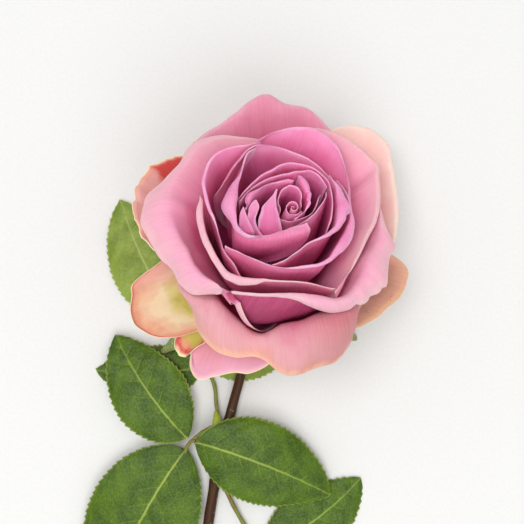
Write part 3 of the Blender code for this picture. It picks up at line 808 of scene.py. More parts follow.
# %% [markdown]
# ## The tables of petals
# Each row of a table is one station: azimuth, reach, rise, lean, out, down. Azimuths are degrees round
# the bloom's axis, with 0 to the right and 90 to the top as one looks into the bloom. Reach is the
# shoulder's distance from the axis and rise its height above the receptacle, in millimetres. Lean is the
# shoulder's angle from the axis, and the last two say how far out and down the lip rolls beyond the
# shoulder. The number before a table is how wide the claw is beside the petal, and what comes after it
# makes that petal different from the others. Petals are listed from the heart outwards, as they nest.

# %% Keep the petals in their order
PETALS = {}


def petal(name, claw_share, stations, **life):
    """Keeps a petal for later; one without a claw share is a pointed one, given by rows of points."""
    PETALS[name] = (claw_share, stations, {**LIFE, **life})


print("columns of a table: azimuth, reach, rise, lean, out, down")

# %% [markdown]
# ## The heart
# The first petals never open: one is rolled into a scroll, one is wrapped round it, and one has a frill
# that folds over its neighbours. They stand nearly upright, so their rise hardly changes from station to
# station.

# %% Heart petals
petal("heart_scroll", 1.0, (
    (-320, 0.4, 43.0, -2, 0.05, -0.3), (-180, 0.7, 43.4, -2, 0.05, -0.3), (-60, 1.0, 43.7, -2, 0.1, -0.3),
    (20, 1.2, 43.9, -2, 0.1, -0.3), (97, 1.6, 44.1, -2, 0.1, -0.3), (144, 1.8, 44.0, -2, 0.2, -0.3),
    (180, 2.1, 43.8, -2, 0.3, -0.2), (208, 2.3, 43.4, -2, 0.3, -0.2), (233, 2.3, 43.0, -2, 0.2, -0.2),
    (263, 2.0, 42.9, -2, 0.2, -0.2), (306, 2.1, 43.1, -2, 0.2, -0.2), (336, 2.6, 43.5, -2, 0.1, -0.3),
), shift=(0.9, -2.5), column_mm=0.5, wave_mm=0.04, side_roll_mm=0.0, pleat_mm=0.02, lean_deg=0.4)
petal("heart_ring", 0.9, (
    (-30, 3.2, 43.6, 0, 0.1, -0.3), (-8, 3.1, 44.4, 0, 0.2, -0.3), (14, 3.2, 44.8, 0, 0.3, -0.2),
    (45, 3.6, 45.1, 0, 0.4, -0.2), (67, 3.9, 45.2, 0, 0.4, -0.2), (88, 4.0, 45.3, 0, 0.4, -0.2),
    (110, 3.7, 45.2, 0, 0.4, -0.2), (142, 3.5, 45.0, 0, 0.3, -0.2), (172, 3.6, 44.4, 0, 0.2, -0.3),
    (206, 3.7, 43.4, 0, 0.2, -0.3), (228, 3.8, 42.4, 0, 0.1, -0.3),
), wave_mm=0.1)
petal("heart_frill", 0.8, (
    (-78, 3.9, 42.4, 0, 0.1, -0.3), (-53, 4.0, 43.2, 0, 0.3, -0.2), (-36, 3.9, 43.9, 0, 0.7, 0.0),
    (-18, 4.0, 44.8, 0, 1.3, 0.2), (3, 4.1, 45.4, 2, 1.4, 0.2), (20, 4.4, 45.7, 3, 1.9, 0.2),
    (34, 4.7, 45.8, 4, 2.1, 0.2), (50, 5.3, 45.9, 4, 2.2, 0.1), (62, 6.2, 46.0, 4, 2.0, 0.1),
    (72, 7.2, 45.8, 2, 0.8, 0.0),
), wave_mm=0.16, waves=4.0)
petal("inner_front_1", 0.7, (
    (-134, 4.6, 40.6, 0, 0.1, -0.3), (-104, 4.2, 41.8, 0, 0.2, -0.3), (-78, 4.2, 42.4, 0, 0.2, -0.3),
    (-53, 4.5, 43.2, 2, 0.3, -0.3), (-35, 5.4, 44.0, 3, 0.4, -0.2), (-20, 6.2, 44.6, 4, 0.5, -0.1),
    (-5, 7.0, 45.0, 4, 0.6, -0.1), (9, 8.2, 45.1, 4, 0.3, -0.2),
))
print(len(PETALS), "petals so far")

# %% [markdown]
# ## Round the heart
# Three pointed petals lie folded one inside another on the left of the heart. Between and behind them
# stand the inner petals, which cup the heart from the front and the back, and one long one that goes most
# of the way round.

# %% Inner petals
petal("heart_wedge_inner", None, (
    ((215, 2.5, 6.5), (235, 2.5, 6.5), (255, 2.5, 6.5)),
    ((216, 9.2, 22), (236, 9.0, 22), (256, 8.4, 22)),
    ((217, 12.8, 35), (240, 11.4, 35), (257, 9.8, 35)),
    ((220, 12.6, 39.6), (241, 11.2, 39.6), (257, 9.6, 39.6)),
    ((212, 11.4, 41.6), (231, 9.4, 41.7), (247, 7.4, 41.6)),
    ((204, 9.9, 42.9), (217, 7.8, 43.0), (230, 5.8, 42.9)),
    ((197, 9.1, 43.5), (205, 7.0, 43.7), (213, 5.1, 43.5)),
    ((186, 7.0, 44.2), (189, 5.8, 44.4), (192, 4.6, 44.2)),
    ((171, 5.6, 45.0), (168, 5.1, 45.1), (165, 4.6, 45.0)),
    ((151, 5.1, 45.6), (150, 5.0, 45.7), (149, 4.9, 45.6)),
))
petal("heart_wedge_middle", None, (
    ((200, 2.8, 6.4), (220, 2.8, 6.4), (236, 2.8, 6.4)),
    ((201, 11.4, 22), (220, 10.8, 22), (236, 10.2, 22)),
    ((206, 15.6, 35), (223, 14.0, 35), (237, 12.4, 35)),
    ((214, 15.2, 40.0), (226, 13.2, 40.0), (234, 11.5, 40.0)),
    ((204, 14.4, 41.6), (213, 12.3, 41.3), (220, 10.4, 41.4)),
    ((199, 13.6, 42.7), (205, 11.7, 42.3), (210, 10.0, 42.5)),
    ((193, 13.0, 43.3), (199, 11.3, 43.0), (203, 9.9, 43.2)),
    ((188, 12.0, 44.2), (192, 10.9, 44.0), (195, 9.9, 44.1)),
    ((186, 11.1, 45.1), (186, 10.9, 45.1), (186, 10.7, 45.1)),
))
petal("inner_back_1", 0.8, (
    (80, 5.6, 45.2, 2, 0.8, 0.0), (92, 5.3, 45.7, 2, 1.2, 0.0), (115, 5.4, 45.7, 3, 0.9, 0.0),
    (133, 6.2, 45.6, 3, 0.6, 0.0), (147, 7.3, 45.6, 3, 0.6, 0.0), (159, 8.4, 45.5, 4, 0.9, 0.1),
    (168, 9.2, 45.4, 4, 1.8, 0.2), (176, 9.9, 45.3, 4, 3.2, 0.4), (184, 10.6, 45.2, 4, 3.3, 0.6),
    (190, 11.8, 44.6, 4, 2.2, 0.6), (195, 13.2, 43.6, 4, 0.8, 0.3),
))
petal("inner_front_2", 0.7, (
    (-110, 11.0, 41.6, -5, 0.1, -0.3), (-98, 9.5, 42.2, -5, 0.1, -0.3), (-83, 8.5, 42.8, -5, 0.1, -0.3),
    (-65, 8.0, 43.5, -5, 0.2, -0.3), (-44, 8.3, 44.3, -5, 0.3, -0.2), (-31, 8.5, 44.9, -5, 0.3, -0.2),
    (-11, 9.2, 45.1, -5, 0.3, -0.2), (2, 10.3, 45.1, -5, 0.3, -0.2), (14, 11.3, 44.9, -5, 0.2, -0.3),
), belly=0.4, side_roll_mm=0.0)
petal("heart_wedge_outer", None, (
    ((195, 4.1, 5.7), (210, 4.1, 5.7), (225, 4.1, 5.7)),
    ((196, 13.0, 22), (210, 12.8, 22), (225, 12.4, 22)),
    ((206, 17.6, 35), (215, 16.8, 35), (224, 15.4, 35)),
    ((214, 18.2, 40.2), (219, 16.8, 40.2), (223, 14.8, 40.2)),
    ((209, 17.8, 41.5), (214, 16.4, 41.5), (218, 14.6, 41.5)),
    ((204, 17.1, 42.5), (207, 15.8, 42.5), (209, 14.5, 42.5)),
    ((198, 16.2, 43.4), (200, 15.4, 43.4), (202, 14.6, 43.4)),
    ((193, 15.0, 44.4), (193, 14.9, 44.4), (193, 14.8, 44.4)),
))
petal("inner_back_2", 0.7, (
    (22, 11.9, 44.8, 4, 0.2, -0.3), (38, 11.5, 45.6, 4, 0.5, -0.1), (48, 11.2, 45.8, 4, 0.6, 0.0),
    (58, 10.6, 46.0, 4, 0.6, 0.0), (67, 9.6, 46.0, 4, 0.5, -0.1), (77, 9.0, 46.0, 4, 0.4, -0.1),
    (90, 8.0, 46.0, 4, 0.4, -0.1), (103, 7.7, 46.0, 4, 0.4, -0.1), (125, 7.9, 46.0, 4, 0.4, -0.1),
    (146, 9.1, 46.0, 4, 0.4, -0.1), (160, 10.4, 45.9, 4, 0.4, -0.1), (171, 12.4, 45.5, 4, 0.4, -0.1),
    (178, 13.8, 45.0, 4, 0.3, -0.2), (185, 15.0, 44.2, 4, 0.2, -0.3),
))
petal("inner_ring", 0.8, (
    (-42, 14.2, 41.6, 2, 0.2, -0.3), (-32, 13.5, 43.4, 2, 0.5, -0.1), (-8, 12.3, 44.8, 3, 0.6, 0.0),
    (14, 12.2, 45.4, 4, 0.7, 0.0), (30, 12.6, 45.8, 4, 0.7, 0.0), (44, 12.4, 46.0, 5, 0.7, 0.0),
    (58, 12.1, 46.0, 5, 0.7, 0.0), (75, 11.4, 46.0, 5, 0.7, 0.0), (94, 11.1, 46.0, 5, 0.7, 0.0),
    (110, 10.6, 46.0, 5, 0.7, 0.0), (126, 10.2, 46.0, 5, 0.7, 0.0), (149, 11.2, 45.9, 5, 0.6, 0.0),
    (164, 12.6, 45.6, 4, 0.6, 0.0), (174, 14.2, 44.8, 4, 0.5, -0.1), (181, 15.4, 43.8, 3, 0.2, -0.3),
))
print(len(PETALS), "petals so far")

# %% [markdown]
# ## The middle petals
# These have begun to open. Their shoulders stand further out and a lip, up to 6 mm wide, rolls over at
# the places where nothing holds it back.

# %% Middle petals
petal("middle_left_1", 0.1, (
    (120, 20.2, 44.8, 4, 0.2, -0.2), (129, 19.4, 45.6, 3, 0.5, 0.0), (138, 17.9, 46.0, 2, 0.9, 0.1),
    (150, 16.4, 46.1, 1, 0.9, 0.2), (159, 15.6, 46.1, 1, 2.0, 0.8), (169, 15.3, 46.0, 2, 3.6, 1.5),
    (180, 15.4, 46.0, 2, 5.0, 2.1), (188, 15.8, 45.9, 3, 5.3, 2.2), (196, 16.6, 45.8, 3, 4.0, 2.0),
    (204, 17.6, 45.6, 4, 2.8, 1.6), (212, 18.8, 45.3, 4, 1.7, 1.2), (219, 18.8, 45.0, 3, 1.4, 1.0),
    (227, 17.7, 44.8, 2, 1.2, 1.0), (235, 15.5, 44.6, 2, 0.9, 0.8), (245, 13.0, 44.4, 2, 0.7, 0.5),
    (256, 10.9, 43.6, 2, 0.3, 0.0), (272, 9.3, 43.7, 2, 0.3, -0.2), (288, 8.9, 44.1, 2, 0.3, -0.2),
    (300, 8.9, 44.3, 2, 0.2, -0.2),
), bend=1.6, widens_to=1.0, taper=2.0, side_roll_mm=0.0)
petal("middle_right_1", 0.7, (
    (-106, 21.0, 41.8, 2, 0.2, -0.1), (-97, 20.0, 42.5, 2, 0.3, 0.0), (-88, 17.7, 43.1, 2, 0.4, 0.1),
    (-74, 15.4, 43.6, 2, 0.4, 0.2), (-59, 14.9, 44.0, 3, 0.6, 0.4), (-48, 15.3, 44.3, 3, 0.9, 0.7),
    (-39, 15.5, 44.6, 4, 1.4, 1.1), (-30, 15.0, 45.0, 5, 2.4, 1.4), (-19, 14.2, 45.2, 6, 3.6, 1.7),
    (-9, 13.8, 45.4, 6, 5.0, 1.9), (3, 13.7, 45.5, 6, 3.5, 1.2), (15, 13.9, 45.6, 5, 2.1, 0.6),
    (25, 14.1, 45.6, 4, 1.0, 0.1), (35, 14.2, 45.2, 3, 0.3, -0.2),
), bend=1.6, notches=((-14, 0.25, 2.0),))
petal("middle_front_1", 0.7, (
    (-142, 25.0, 42.8, 4, 0.2, -0.1), (-130, 23.4, 42.8, 3, 0.3, 0.0), (-116, 21.6, 42.6, 3, 0.4, 0.1),
    (-100, 20.7, 42.3, 3, 0.6, 0.3), (-84, 21.0, 42.5, 3, 1.0, 0.5), (-71, 22.0, 42.7, 4, 0.7, 0.6),
    (-60, 21.9, 43.4, 4, 1.0, 1.2), (-51, 20.5, 43.8, 5, 2.0, 1.6), (-42, 19.3, 43.7, 6, 3.0, 1.7),
    (-31, 18.8, 43.2, 7, 3.1, 1.3), (-19, 18.7, 42.8, 7, 2.1, 0.9), (-8, 18.6, 42.6, 7, 0.9, 0.4),
    (6, 18.2, 42.8, 6, 0.5, 0.2), (20, 17.6, 42.8, 4, 0.3, 0.0), (30, 17.2, 42.4, 4, 0.2, 0.0),
), bend=1.6)
petal("middle_top", 0.7, (
    (36, 15.4, 42.8, 6, 0.2, -0.2), (53, 15.3, 43.7, 8, 0.3, -0.2), (67, 15.4, 44.2, 9, 0.4, -0.1),
    (81, 15.9, 44.7, 10, 0.5, 0.0), (94, 17.0, 45.1, 11, 0.6, 0.1), (108, 18.3, 45.6, 12, 0.6, 0.1),
    (118, 19.6, 45.6, 12, 0.5, 0.1), (126, 19.9, 45.2, 10, 0.4, 0.0), (139, 19.5, 43.4, 8, 0.3, -0.1),
    (151, 20.3, 40.9, 6, 0.2, -0.2), (159, 21.3, 38.0, 6, 0.2, -0.2), (167, 22.5, 35.6, 6, 0.2, -0.2),
))
petal("middle_left_2", 0.7, (
    (112, 21.8, 43.4, 14, 0.2, -0.1), (122, 22.2, 44.2, 14, 0.4, 0.1), (130, 23.2, 44.5, 14, 0.6, 0.2),
    (140, 25.2, 44.7, 14, 0.8, 0.3), (151, 26.4, 44.7, 14, 0.9, 0.3), (161, 26.6, 44.7, 12, 1.0, 0.4),
    (171, 26.3, 44.5, 10, 1.0, 0.5), (180, 25.3, 44.2, 8, 1.0, 0.6), (192, 24.1, 43.4, 6, 0.8, 0.5),
    (204, 23.2, 42.5, 5, 0.5, 0.3), (216, 23.3, 41.6, 5, 0.4, 0.2), (228, 24.8, 40.4, 5, 0.3, 0.0),
    (238, 27.2, 38.8, 5, 0.2, 0.0),
))
petal("middle_right_2", 0.7, (
    (-4, 18.0, 40.0, 10, 0.2, 0.0), (10, 17.9, 42.0, 16, 0.6, 0.2), (25, 19.2, 43.0, 24, 0.9, 0.3),
    (38, 21.5, 43.3, 30, 1.1, 0.4), (48, 23.9, 43.4, 34, 1.2, 0.5), (56, 25.3, 43.5, 36, 1.3, 0.5),
    (64, 26.2, 43.7, 38, 1.3, 0.5), (73, 26.4, 44.0, 38, 1.3, 0.5), (82, 25.8, 44.0, 36, 1.3, 0.5),
    (92, 24.5, 43.9, 34, 1.2, 0.5), (103, 23.4, 43.7, 30, 1.0, 0.4), (112, 22.5, 43.0, 26, 0.6, 0.2),
    (121, 22.2, 41.6, 20, 0.2, 0.0),
), folds=((73, 0.9, 5.0),))
print(len(PETALS), "petals so far")

# %% [markdown]
# ## The outer petals
# The outer petals are the ones that give the bloom its outline. Some lean out almost flat, some roll far
# over and show their backs, and the one at the lower front hangs down with its whole lip turned out.

# %% Outer petals
petal("outer_front_1", 0.65, (
    (176, 26.8, 41.6, 8, 0.3, 0.1), (183, 26.5, 42.6, 8, 1.3, 0.9), (190, 26.8, 42.7, 8, 1.9, 1.3),
    (200, 27.5, 42.5, 8, 1.8, 1.3), (210, 28.4, 42.3, 8, 1.6, 1.2), (220, 29.5, 41.9, 8, 1.5, 1.3),
    (229, 30.1, 41.5, 8, 1.7, 1.4), (235, 29.6, 41.3, 8, 2.3, 1.5), (241, 28.3, 41.0, 8, 2.8, 1.5),
    (248, 27.0, 40.7, 8, 2.0, 1.2), (254, 26.0, 40.3, 7, 0.6, 0.5), (269, 25.1, 39.7, 6, 0.4, 0.2),
    (282, 26.2, 39.2, 6, 0.4, 0.2), (297, 29.2, 38.2, 6, 0.3, 0.1),
))
petal("outer_right", 0.65, (
    (-63, 28.6, 36.6, 24, 0.3, 0.1), (-57, 27.6, 37.3, 32, 0.6, 0.2), (-49, 26.7, 37.8, 40, 0.8, 0.4),
    (-35, 25.8, 37.9, 48, 1.0, 0.5), (-21, 25.6, 37.9, 52, 1.2, 0.6), (-8, 26.4, 37.8, 54, 1.4, 0.6),
    (4, 27.8, 37.7, 56, 1.6, 0.7), (15, 29.6, 37.6, 57, 1.8, 0.8), (25, 31.6, 37.5, 58, 2.0, 0.8),
    (31, 33.4, 37.5, 58, 2.0, 0.8), (38, 33.4, 37.4, 57, 1.9, 0.8), (46, 33.6, 37.2, 56, 1.8, 0.8),
    (55, 33.2, 36.9, 54, 1.6, 0.7), (65, 33.6, 36.0, 50, 1.2, 0.5), (72, 34.0, 34.8, 46, 0.5, 0.2),
), bend=1.6, folds=((31, 1.0, 5.0), (-18, -0.7, 12.0)))
petal("outer_front_2", 0.1, (
    (230, 33.8, 36.4, -14, 1.2, 1.4), (236, 32.9, 37.1, -16, 1.2, 1.4), (246, 31.2, 37.9, -18, 0.9, 0.9),
    (258, 29.5, 38.1, -20, 0.8, 0.9),
    (267, 28.8, 38.1, -18, 1.0, 1.3), (274, 28.8, 38.1, -14, 1.2, 2.0), (280, 29.0, 37.9, -8, 1.9, 3.8),
    (287, 29.2, 37.5, 0, 3.4, 4.8), (294, 29.6, 37.1, 8, 4.8, 5.0), (301, 29.8, 36.8, 14, 6.3, 4.8),
    (309, 29.6, 36.5, 20, 7.8, 4.3), (317, 29.6, 36.3, 24, 8.4, 3.8), (323, 29.4, 36.2, 32, 9.0, 3.7),
    (330, 29.0, 36.2, 38, 7.5, 3.2), (338, 28.8, 36.2, 42, 6.4, 2.8), (345, 29.0, 36.2, 44, 6.4, 2.7),
    (352, 29.0, 36.0, 44, 3.8, 2.6), (360, 29.2, 35.6, 44, 2.0, 2.6), (371, 30.0, 34.6, 40, 0.8, 1.4),
), bend=2.0, belly=0.52, widens_to=1.0, straight_left=True, side_roll_mm=0.0, folded_side=(12.5, 1.0),
    notches=((305, 0.12, 2.0), (314, 0.10, 1.6), (321, 0.10, 1.4)), folds=((330, -0.8, 10.0),))
petal("outer_left", 0.6, (
    (106, 27.0, 36.2, 48, 0.5, 0.1), (118, 29.0, 37.0, 54, 1.2, 0.3), (126, 31.6, 36.8, 58, 2.0, 0.6),
    (135, 33.8, 36.2, 60, 3.6, 2.0), (143, 34.6, 35.8, 62, 4.4, 2.6), (152, 34.2, 35.6, 63, 3.2, 2.4),
    (163, 34.8, 35.4, 64, 4.6, 3.2), (171, 35.4, 35.2, 65, 7.6, 4.0), (179, 35.2, 35.2, 65, 9.4, 6.8),
    (190, 33.8, 35.4, 63, 9.0, 7.4), (199, 32.4, 35.9, 60, 8.2, 7.9), (207, 31.5, 36.3, 56, 7.6, 8.2),
    (214, 31.0, 36.4, 52, 8.0, 8.3), (222, 30.5, 36.5, 48, 7.2, 7.2), (229, 30.6, 36.6, 44, 4.4, 5.0),
    (233, 31.0, 36.0, 40, 2.8, 3.2), (239, 31.8, 34.2, 36, 0.4, 0.5),
), bend=2.4, pleat_mm=0.15, side_roll_mm=0.0, folds=((176, -1.3, 4.0), (158, 0.8, 9.0), (214, 0.7, 8.0)))
petal("outer_top", 0.6, (
    (52, 34.6, 31.0, 54, 0.8, 0.2), (63, 35.6, 33.0, 60, 1.6, 0.5), (71, 38.0, 33.8, 64, 2.0, 0.6),
    (78, 40.2, 34.0, 66, 2.4, 0.8), (88, 40.4, 34.0, 66, 2.6, 0.8), (95, 43.6, 34.2, 68, 3.0, 0.9),
    (102, 42.0, 34.0, 66, 2.8, 0.8), (110, 38.8, 33.8, 66, 2.4, 0.7), (120, 37.4, 33.0, 64, 2.0, 0.6),
    (131, 37.2, 32.6, 62, 2.0, 0.6), (142, 37.6, 31.6, 60, 1.2, 0.4),
), bend=1.5, folds=((96, -1.2, 8.0), (78, 0.7, 5.0)))
petal("lower_front", 0.6, (
    (206, 36.4, 25.6, 34, 0.5, 2.6), (213, 36.4, 27.4, 34, 1.6, 6.2), (221, 35.2, 29.0, 34, 3.2, 9.4),
    (228, 34.0, 29.2, 32, 6.4, 10.2), (236, 34.4, 27.2, 30, 8.9, 9.2), (244, 34.2, 24.4, 28, 9.6, 6.5),
    (251, 34.0, 22.0, 26, 9.2, 4.6), (258, 33.8, 20.8, 26, 8.0, 3.6), (262, 33.2, 21.4, 26, 8.2, 4.8),
    (268, 32.2, 23.6, 26, 11.6, 8.2), (275, 31.8, 25.6, 26, 13.8, 10.6), (284, 30.6, 28.4, 26, 14.0, 13.4),
    (293, 30.6, 30.6, 26, 13.2, 15.0), (301, 31.6, 31.0, 28, 11.0, 13.8), (306, 32.4, 30.4, 30, 6.2, 9.8),
    (312, 34.2, 28.4, 32, 0.8, 4.8),
), belly=0.6, bend=3.0, spreads=(1, 1, 1, 0, 0, 0),
    folds=((252, 0.9, 4.0), (236, -0.7, 7.0), (284, -0.5, 9.0)))
print(len(PETALS), "petals so far")

# %% [markdown]
# ## The guard petals
# The last petals are short and crinkled, and lie back flat against the sepals. One is stunted, as there
# nearly always is one: it grew in the space that the others left.

# %% Guard petals
petal("guard_right_upper", 0.5, (
    (-8, 36.4, 21.0, 54, 0.6, 0.4), (6, 38.2, 21.6, 58, 1.8, 1.4), (17, 40.2, 22.0, 60, 2.4, 1.6),
    (27, 42.6, 22.8, 62, 2.6, 1.6), (35, 45.8, 23.8, 64, 2.9, 1.8), (43, 49.8, 24.4, 66, 3.4, 2.2),
    (51, 48.8, 25.8, 66, 3.2, 1.8), (58, 45.2, 26.6, 64, 2.6, 1.4), (64, 40.6, 27.4, 60, 1.6, 0.8),
    (70, 37.6, 27.6, 58, 0.5, 0.3),
))
petal("guard_left_upper", 0.5, (
    (116, 39.0, 26.8, 64, 0.4, 0.2), (124, 40.6, 26.6, 66, 1.0, 0.4), (131, 40.4, 26.0, 67, 1.2, 0.4),
    (138, 39.6, 24.4, 68, 1.4, 0.2), (143, 41.6, 22.8, 70, 1.8, -0.6), (148, 45.0, 20.8, 72, 1.8, -1.0),
    (153, 46.8, 19.2, 72, 2.2, 0.2), (159, 47.0, 18.2, 72, 2.0, 1.0), (165, 46.6, 17.8, 70, 1.8, 1.0),
    (172, 45.4, 17.6, 70, 1.4, 0.8), (180, 42.8, 17.0, 68, 0.8, 0.3), (186, 40.0, 16.0, 68, 0.4, 0.1),
), wave_mm=0.6, waves=7.0, lean_deg=5.0)
petal("guard_right_lower", 0.45, (
    (-52, 34.0, 8.6, 80, 0.5, 0.2), (-44, 36.0, 7.8, 82, 1.0, 0.4), (-38, 37.2, 7.4, 82, 1.4, 0.5),
    (-31, 38.8, 7.2, 82, 1.8, 0.6), (-24, 40.2, 7.2, 82, 2.0, 0.7), (-17, 42.2, 7.4, 82, 2.2, 0.8),
    (-10, 43.6, 7.8, 82, 2.4, 0.9), (-5, 43.8, 8.6, 82, 2.0, 0.8), (-1, 40.4, 9.8, 80, 1.2, 0.4),
    (2, 36.4, 10.8, 78, 0.4, 0.1),
))
petal("guard_left_lower", 0.45, (
    (190, 36.4, 15.2, 76, 0.4, 0.0), (193, 40.4, 13.4, 78, 0.8, -0.1), (197, 46.8, 10.9, 80, 1.5, -0.2),
    (201, 47.9, 9.8, 82, 1.5, -0.9), (206, 50.4, 8.3, 84, 1.4, -1.5), (211, 51.0, 7.4, 85, 1.5, -1.3),
    (215, 49.4, 6.5, 86, 1.5, -0.6), (219, 46.6, 5.8, 86, 1.2, 0.0), (223, 42.0, 4.7, 86, 0.8, 0.0),
    (227, 36.0, 4.0, 86, 0.4, 0.0),
))
petal("guard_stunted", 0.5, (
    (220, 39.0, 3.0, 90, 0.4, -0.4), (222, 42.0, 1.6, 92, 0.6, -1.0), (224, 43.6, 0.2, 93, 0.8, -0.6),
    (226, 44.0, -0.8, 94, 0.8, 0.4), (228, 43.4, -1.4, 94, 1.4, 0.8), (230, 42.8, -0.8, 93, 0.8, 0.4),
    (231, 40.2, 0.8, 92, 0.8, -1.2), (233, 37.6, 2.4, 90, 0.4, -0.6),
), wave_mm=0.3, column_mm=0.6)
petal("guard_front", 0.45, (
    (228, 37.6, 2.6, 92, 0.4, 0.1), (232, 42.6, 1.2, 94, 1.2, 0.5), (236, 44.8, 0.6, 96, 1.8, 0.8),
    (240, 45.4, 0.2, 97, 2.0, 1.0), (244, 43.4, 0.2, 97, 1.8, 1.0), (250, 40.0, 0.4, 97, 1.6, 0.8),
    (258, 38.6, 0.8, 96, 1.6, 0.8), (265, 36.2, 1.4, 95, 1.4, 0.6), (273, 33.4, 2.6, 92, 0.4, 0.1),
))
petal("guard_back", 0.5, (
    (66, 33.0, 3.0, 98, 1.0, 0.8), (82, 37.0, 1.0, 98, 2.4, 2.0), (97, 39.0, 0.0, 98, 2.6, 2.2),
    (112, 37.0, 1.0, 98, 2.4, 2.0), (128, 33.0, 3.0, 98, 1.0, 0.8),
))
print(len(PETALS), "petals so far")

# %% [markdown]
# ## Lay the petals on
# Now the petals go on, one after another, each pushed clear of those before it. A petal is thickest in
# its middle and thins to a third of that near its free edges, so the second face is laid at a distance
# that shrinks towards them. Both faces then widen the chart for the next petal.

# %% Lay the petals on
PETAL_THICK_MM = 0.30
PETAL_RIM_THICK_MM = 0.16
THINS_OVER_MM = 6.0


def outer_face(points):
    """The petal's second face, laid outside its first."""
    normal = normals_of(points)
    if (normal * points * (1, 1, 0)).sum() < 0:
        normal = -normal
    across, along = lengths(points, 1), lengths(points, 0)
    near = smooth_step(np.minimum(from_sides(across), along[-1:] - along) / THINS_OVER_MM)
    thick = PETAL_RIM_THICK_MM + (PETAL_THICK_MM - PETAL_RIM_THICK_MM) * near
    return points + normal * thick[..., None]


def lay_petal(number, name, claw_share, stations, life):
    if claw_share is None:
        azimuth, distance, wished = tongue_grid(stations)
    else:
        azimuth, distance, wished = petal_grid(number, claw_share, stations, life)
    angle = nested(azimuth, distance, wished, life["spreads"])
    points = to_points(azimuth, distance, angle)
    grown = smooth_step(distance / distance.max())
    for axis, sideways in enumerate(life["shift"]):
        points[..., axis] += sideways * grown
    outer = outer_face(points)
    widen_chart(points)
    widen_chart(outer)
    finishes = FINISHES.get(name) or FINISHES[name.split("_")[0]]
    stands_for(two_faced(name + "_petal", from_bloom(points), from_bloom(outer), finishes), name)
    print(f"{name:20s} {points.shape[1]:4d} columns, pushed {np.degrees(angle - wished).max():4.1f} degrees")


for number, (name, shape) in enumerate(PETALS.items()):
    lay_petal(number, name, *shape)

# %% [markdown]
# ## Waxy green skin
# The hip and the sepals are young green tissue under a smooth waxy cuticle, so they are a little glossy.
# The green is cloudy, with a tinge of the red pigment that roses carry, and pale pores half a millimetre
# apart break it up and roughen it.

# %% Green skin finish
PORE_MM = 0.5
CLOUD_MM = 6.0


def green_skin(name, main, tinge, roughness):
    finish, tree, shader = new_finish(
        name, Roughness=roughness, Subsurface_Weight=0.12, Subsurface_Scale=0.8 * MM, Specular_IOR_Level=0.5
    )
    place = add(tree, "TexCoord", out="Object")
    cloud = add(tree, "TexNoise", {"Vector": place, "Scale": 1 / (CLOUD_MM * MM), "Detail": 5.0})
    pores = add(tree, "TexNoise", {"Vector": place, "Scale": 1 / (PORE_MM * MM), "Detail": 2.0})
    share = add(tree, "MapRange", {0: cloud, 1: 0.45, 2: 0.7}, **EASED)
    colour = add(tree, "Mix", {0: share, 6: linear(main), 7: linear(tinge)}, **COLOUR)
    share = add(tree, "MapRange", {0: pores, 1: 0.5, 2: 0.8}, **EASED)
    colour = add(tree, "Mix", {0: share, 6: colour, 7: linear("#c3cf94")}, **COLOUR)
    tree.links.new(colour, shader["Base Color"])
    relief = add(tree, "Bump", {"Height": pores, "Strength": 0.3, "Distance": 0.1 * MM})
    tree.links.new(relief, shader["Normal"])
    return finish


HIP_SKIN = green_skin("rose_hip_skin", "#6f8a3c", "#8a7a44", roughness=0.42)
SEPAL_SKIN = green_skin("rose_sepal_skin", "#6d8440", "#86734a", roughness=0.5)
print("green skin, pores", PORE_MM, "mm apart")

# %% [markdown]
# ## The hip
# Under the petals sits the receptacle, a green cup that later swells into the hip. It could be a short
# outline turned with Screw. Here its rings are laid directly, because each ring is also pushed in and out
# a little by five soft ribs, one below each sepal, which a real hip has.

# %% Build the hip
HIP_OUTLINE = (
    (1.0, 6.6), (2.6, 6.2), (4.2, 5.2), (5.6, 3.7), (6.4, 2.0), (6.7, 0.4), (6.9, -0.9), (7.1, -1.6),
    (6.4, -2.6), (6.2, -4.2), (6.7, -6.4), (6.5, -8.8), (5.4, -11.2), (3.8, -13.0), (2.9, -14.2),
    (2.6, -15.4),
)
HIP_RINGS, HIP_SIDES = 46, 64


def circle(sides):
    return np.linspace(0, 2 * np.pi, sides, endpoint=False)


def solid_rings(name, rings, finish, cut=None, cut_rings=0):
    """A closed skin over rings of points, with filled ends; cut is the finish of its last few rings."""
    rings = np.asarray(rings, float)
    count, sides = rings.shape[:2]
    ring = np.arange(sides)
    low = (np.arange(count - 1) * sides)[:, None]
    after = np.roll(ring, -1)
    walls = np.stack([low + ring, low + after, low + sides + after, low + sides + ring], -1)
    ends = [ring[::-1].tolist(), ((count - 1) * sides + ring).tolist()]
    faces = walls.reshape(-1, 4).tolist() + ends
    if cut is None:
        return new_piece(name, rings, faces, (finish,))
    in_cut = np.arange(len(faces)) >= (count - 1 - cut_rings) * sides
    in_cut[-2] = False
    piece = new_piece(name, rings, faces, (finish, cut), in_cut, ~in_cut)
    store(piece, "from_pith_mm", np.linalg.norm(rings - rings[-1].mean(0), axis=-1))
    return piece


hip_turn = circle(HIP_SIDES)
ribs = 1 + 0.02 * np.cos(5 * hip_turn) + 0.012 * np.cos(11 * hip_turn + 1)
outline = np.array(HIP_OUTLINE)[::-1]
hip_places = np.linspace(0, len(outline) - 1, HIP_RINGS)
radius, height = (np.interp(hip_places, np.arange(len(outline)), measure)[:, None] for measure in outline.T)
hip_x, hip_y = radius * ribs * np.cos(hip_turn), radius * ribs * np.sin(hip_turn)
hip_rings = np.stack([hip_x, hip_y, height + 0 * ribs], -1)
stands_for(solid_rings("hip_skin", from_bloom(hip_rings), HIP_SKIN), "hip")
print("hip has", HIP_RINGS, "rings")

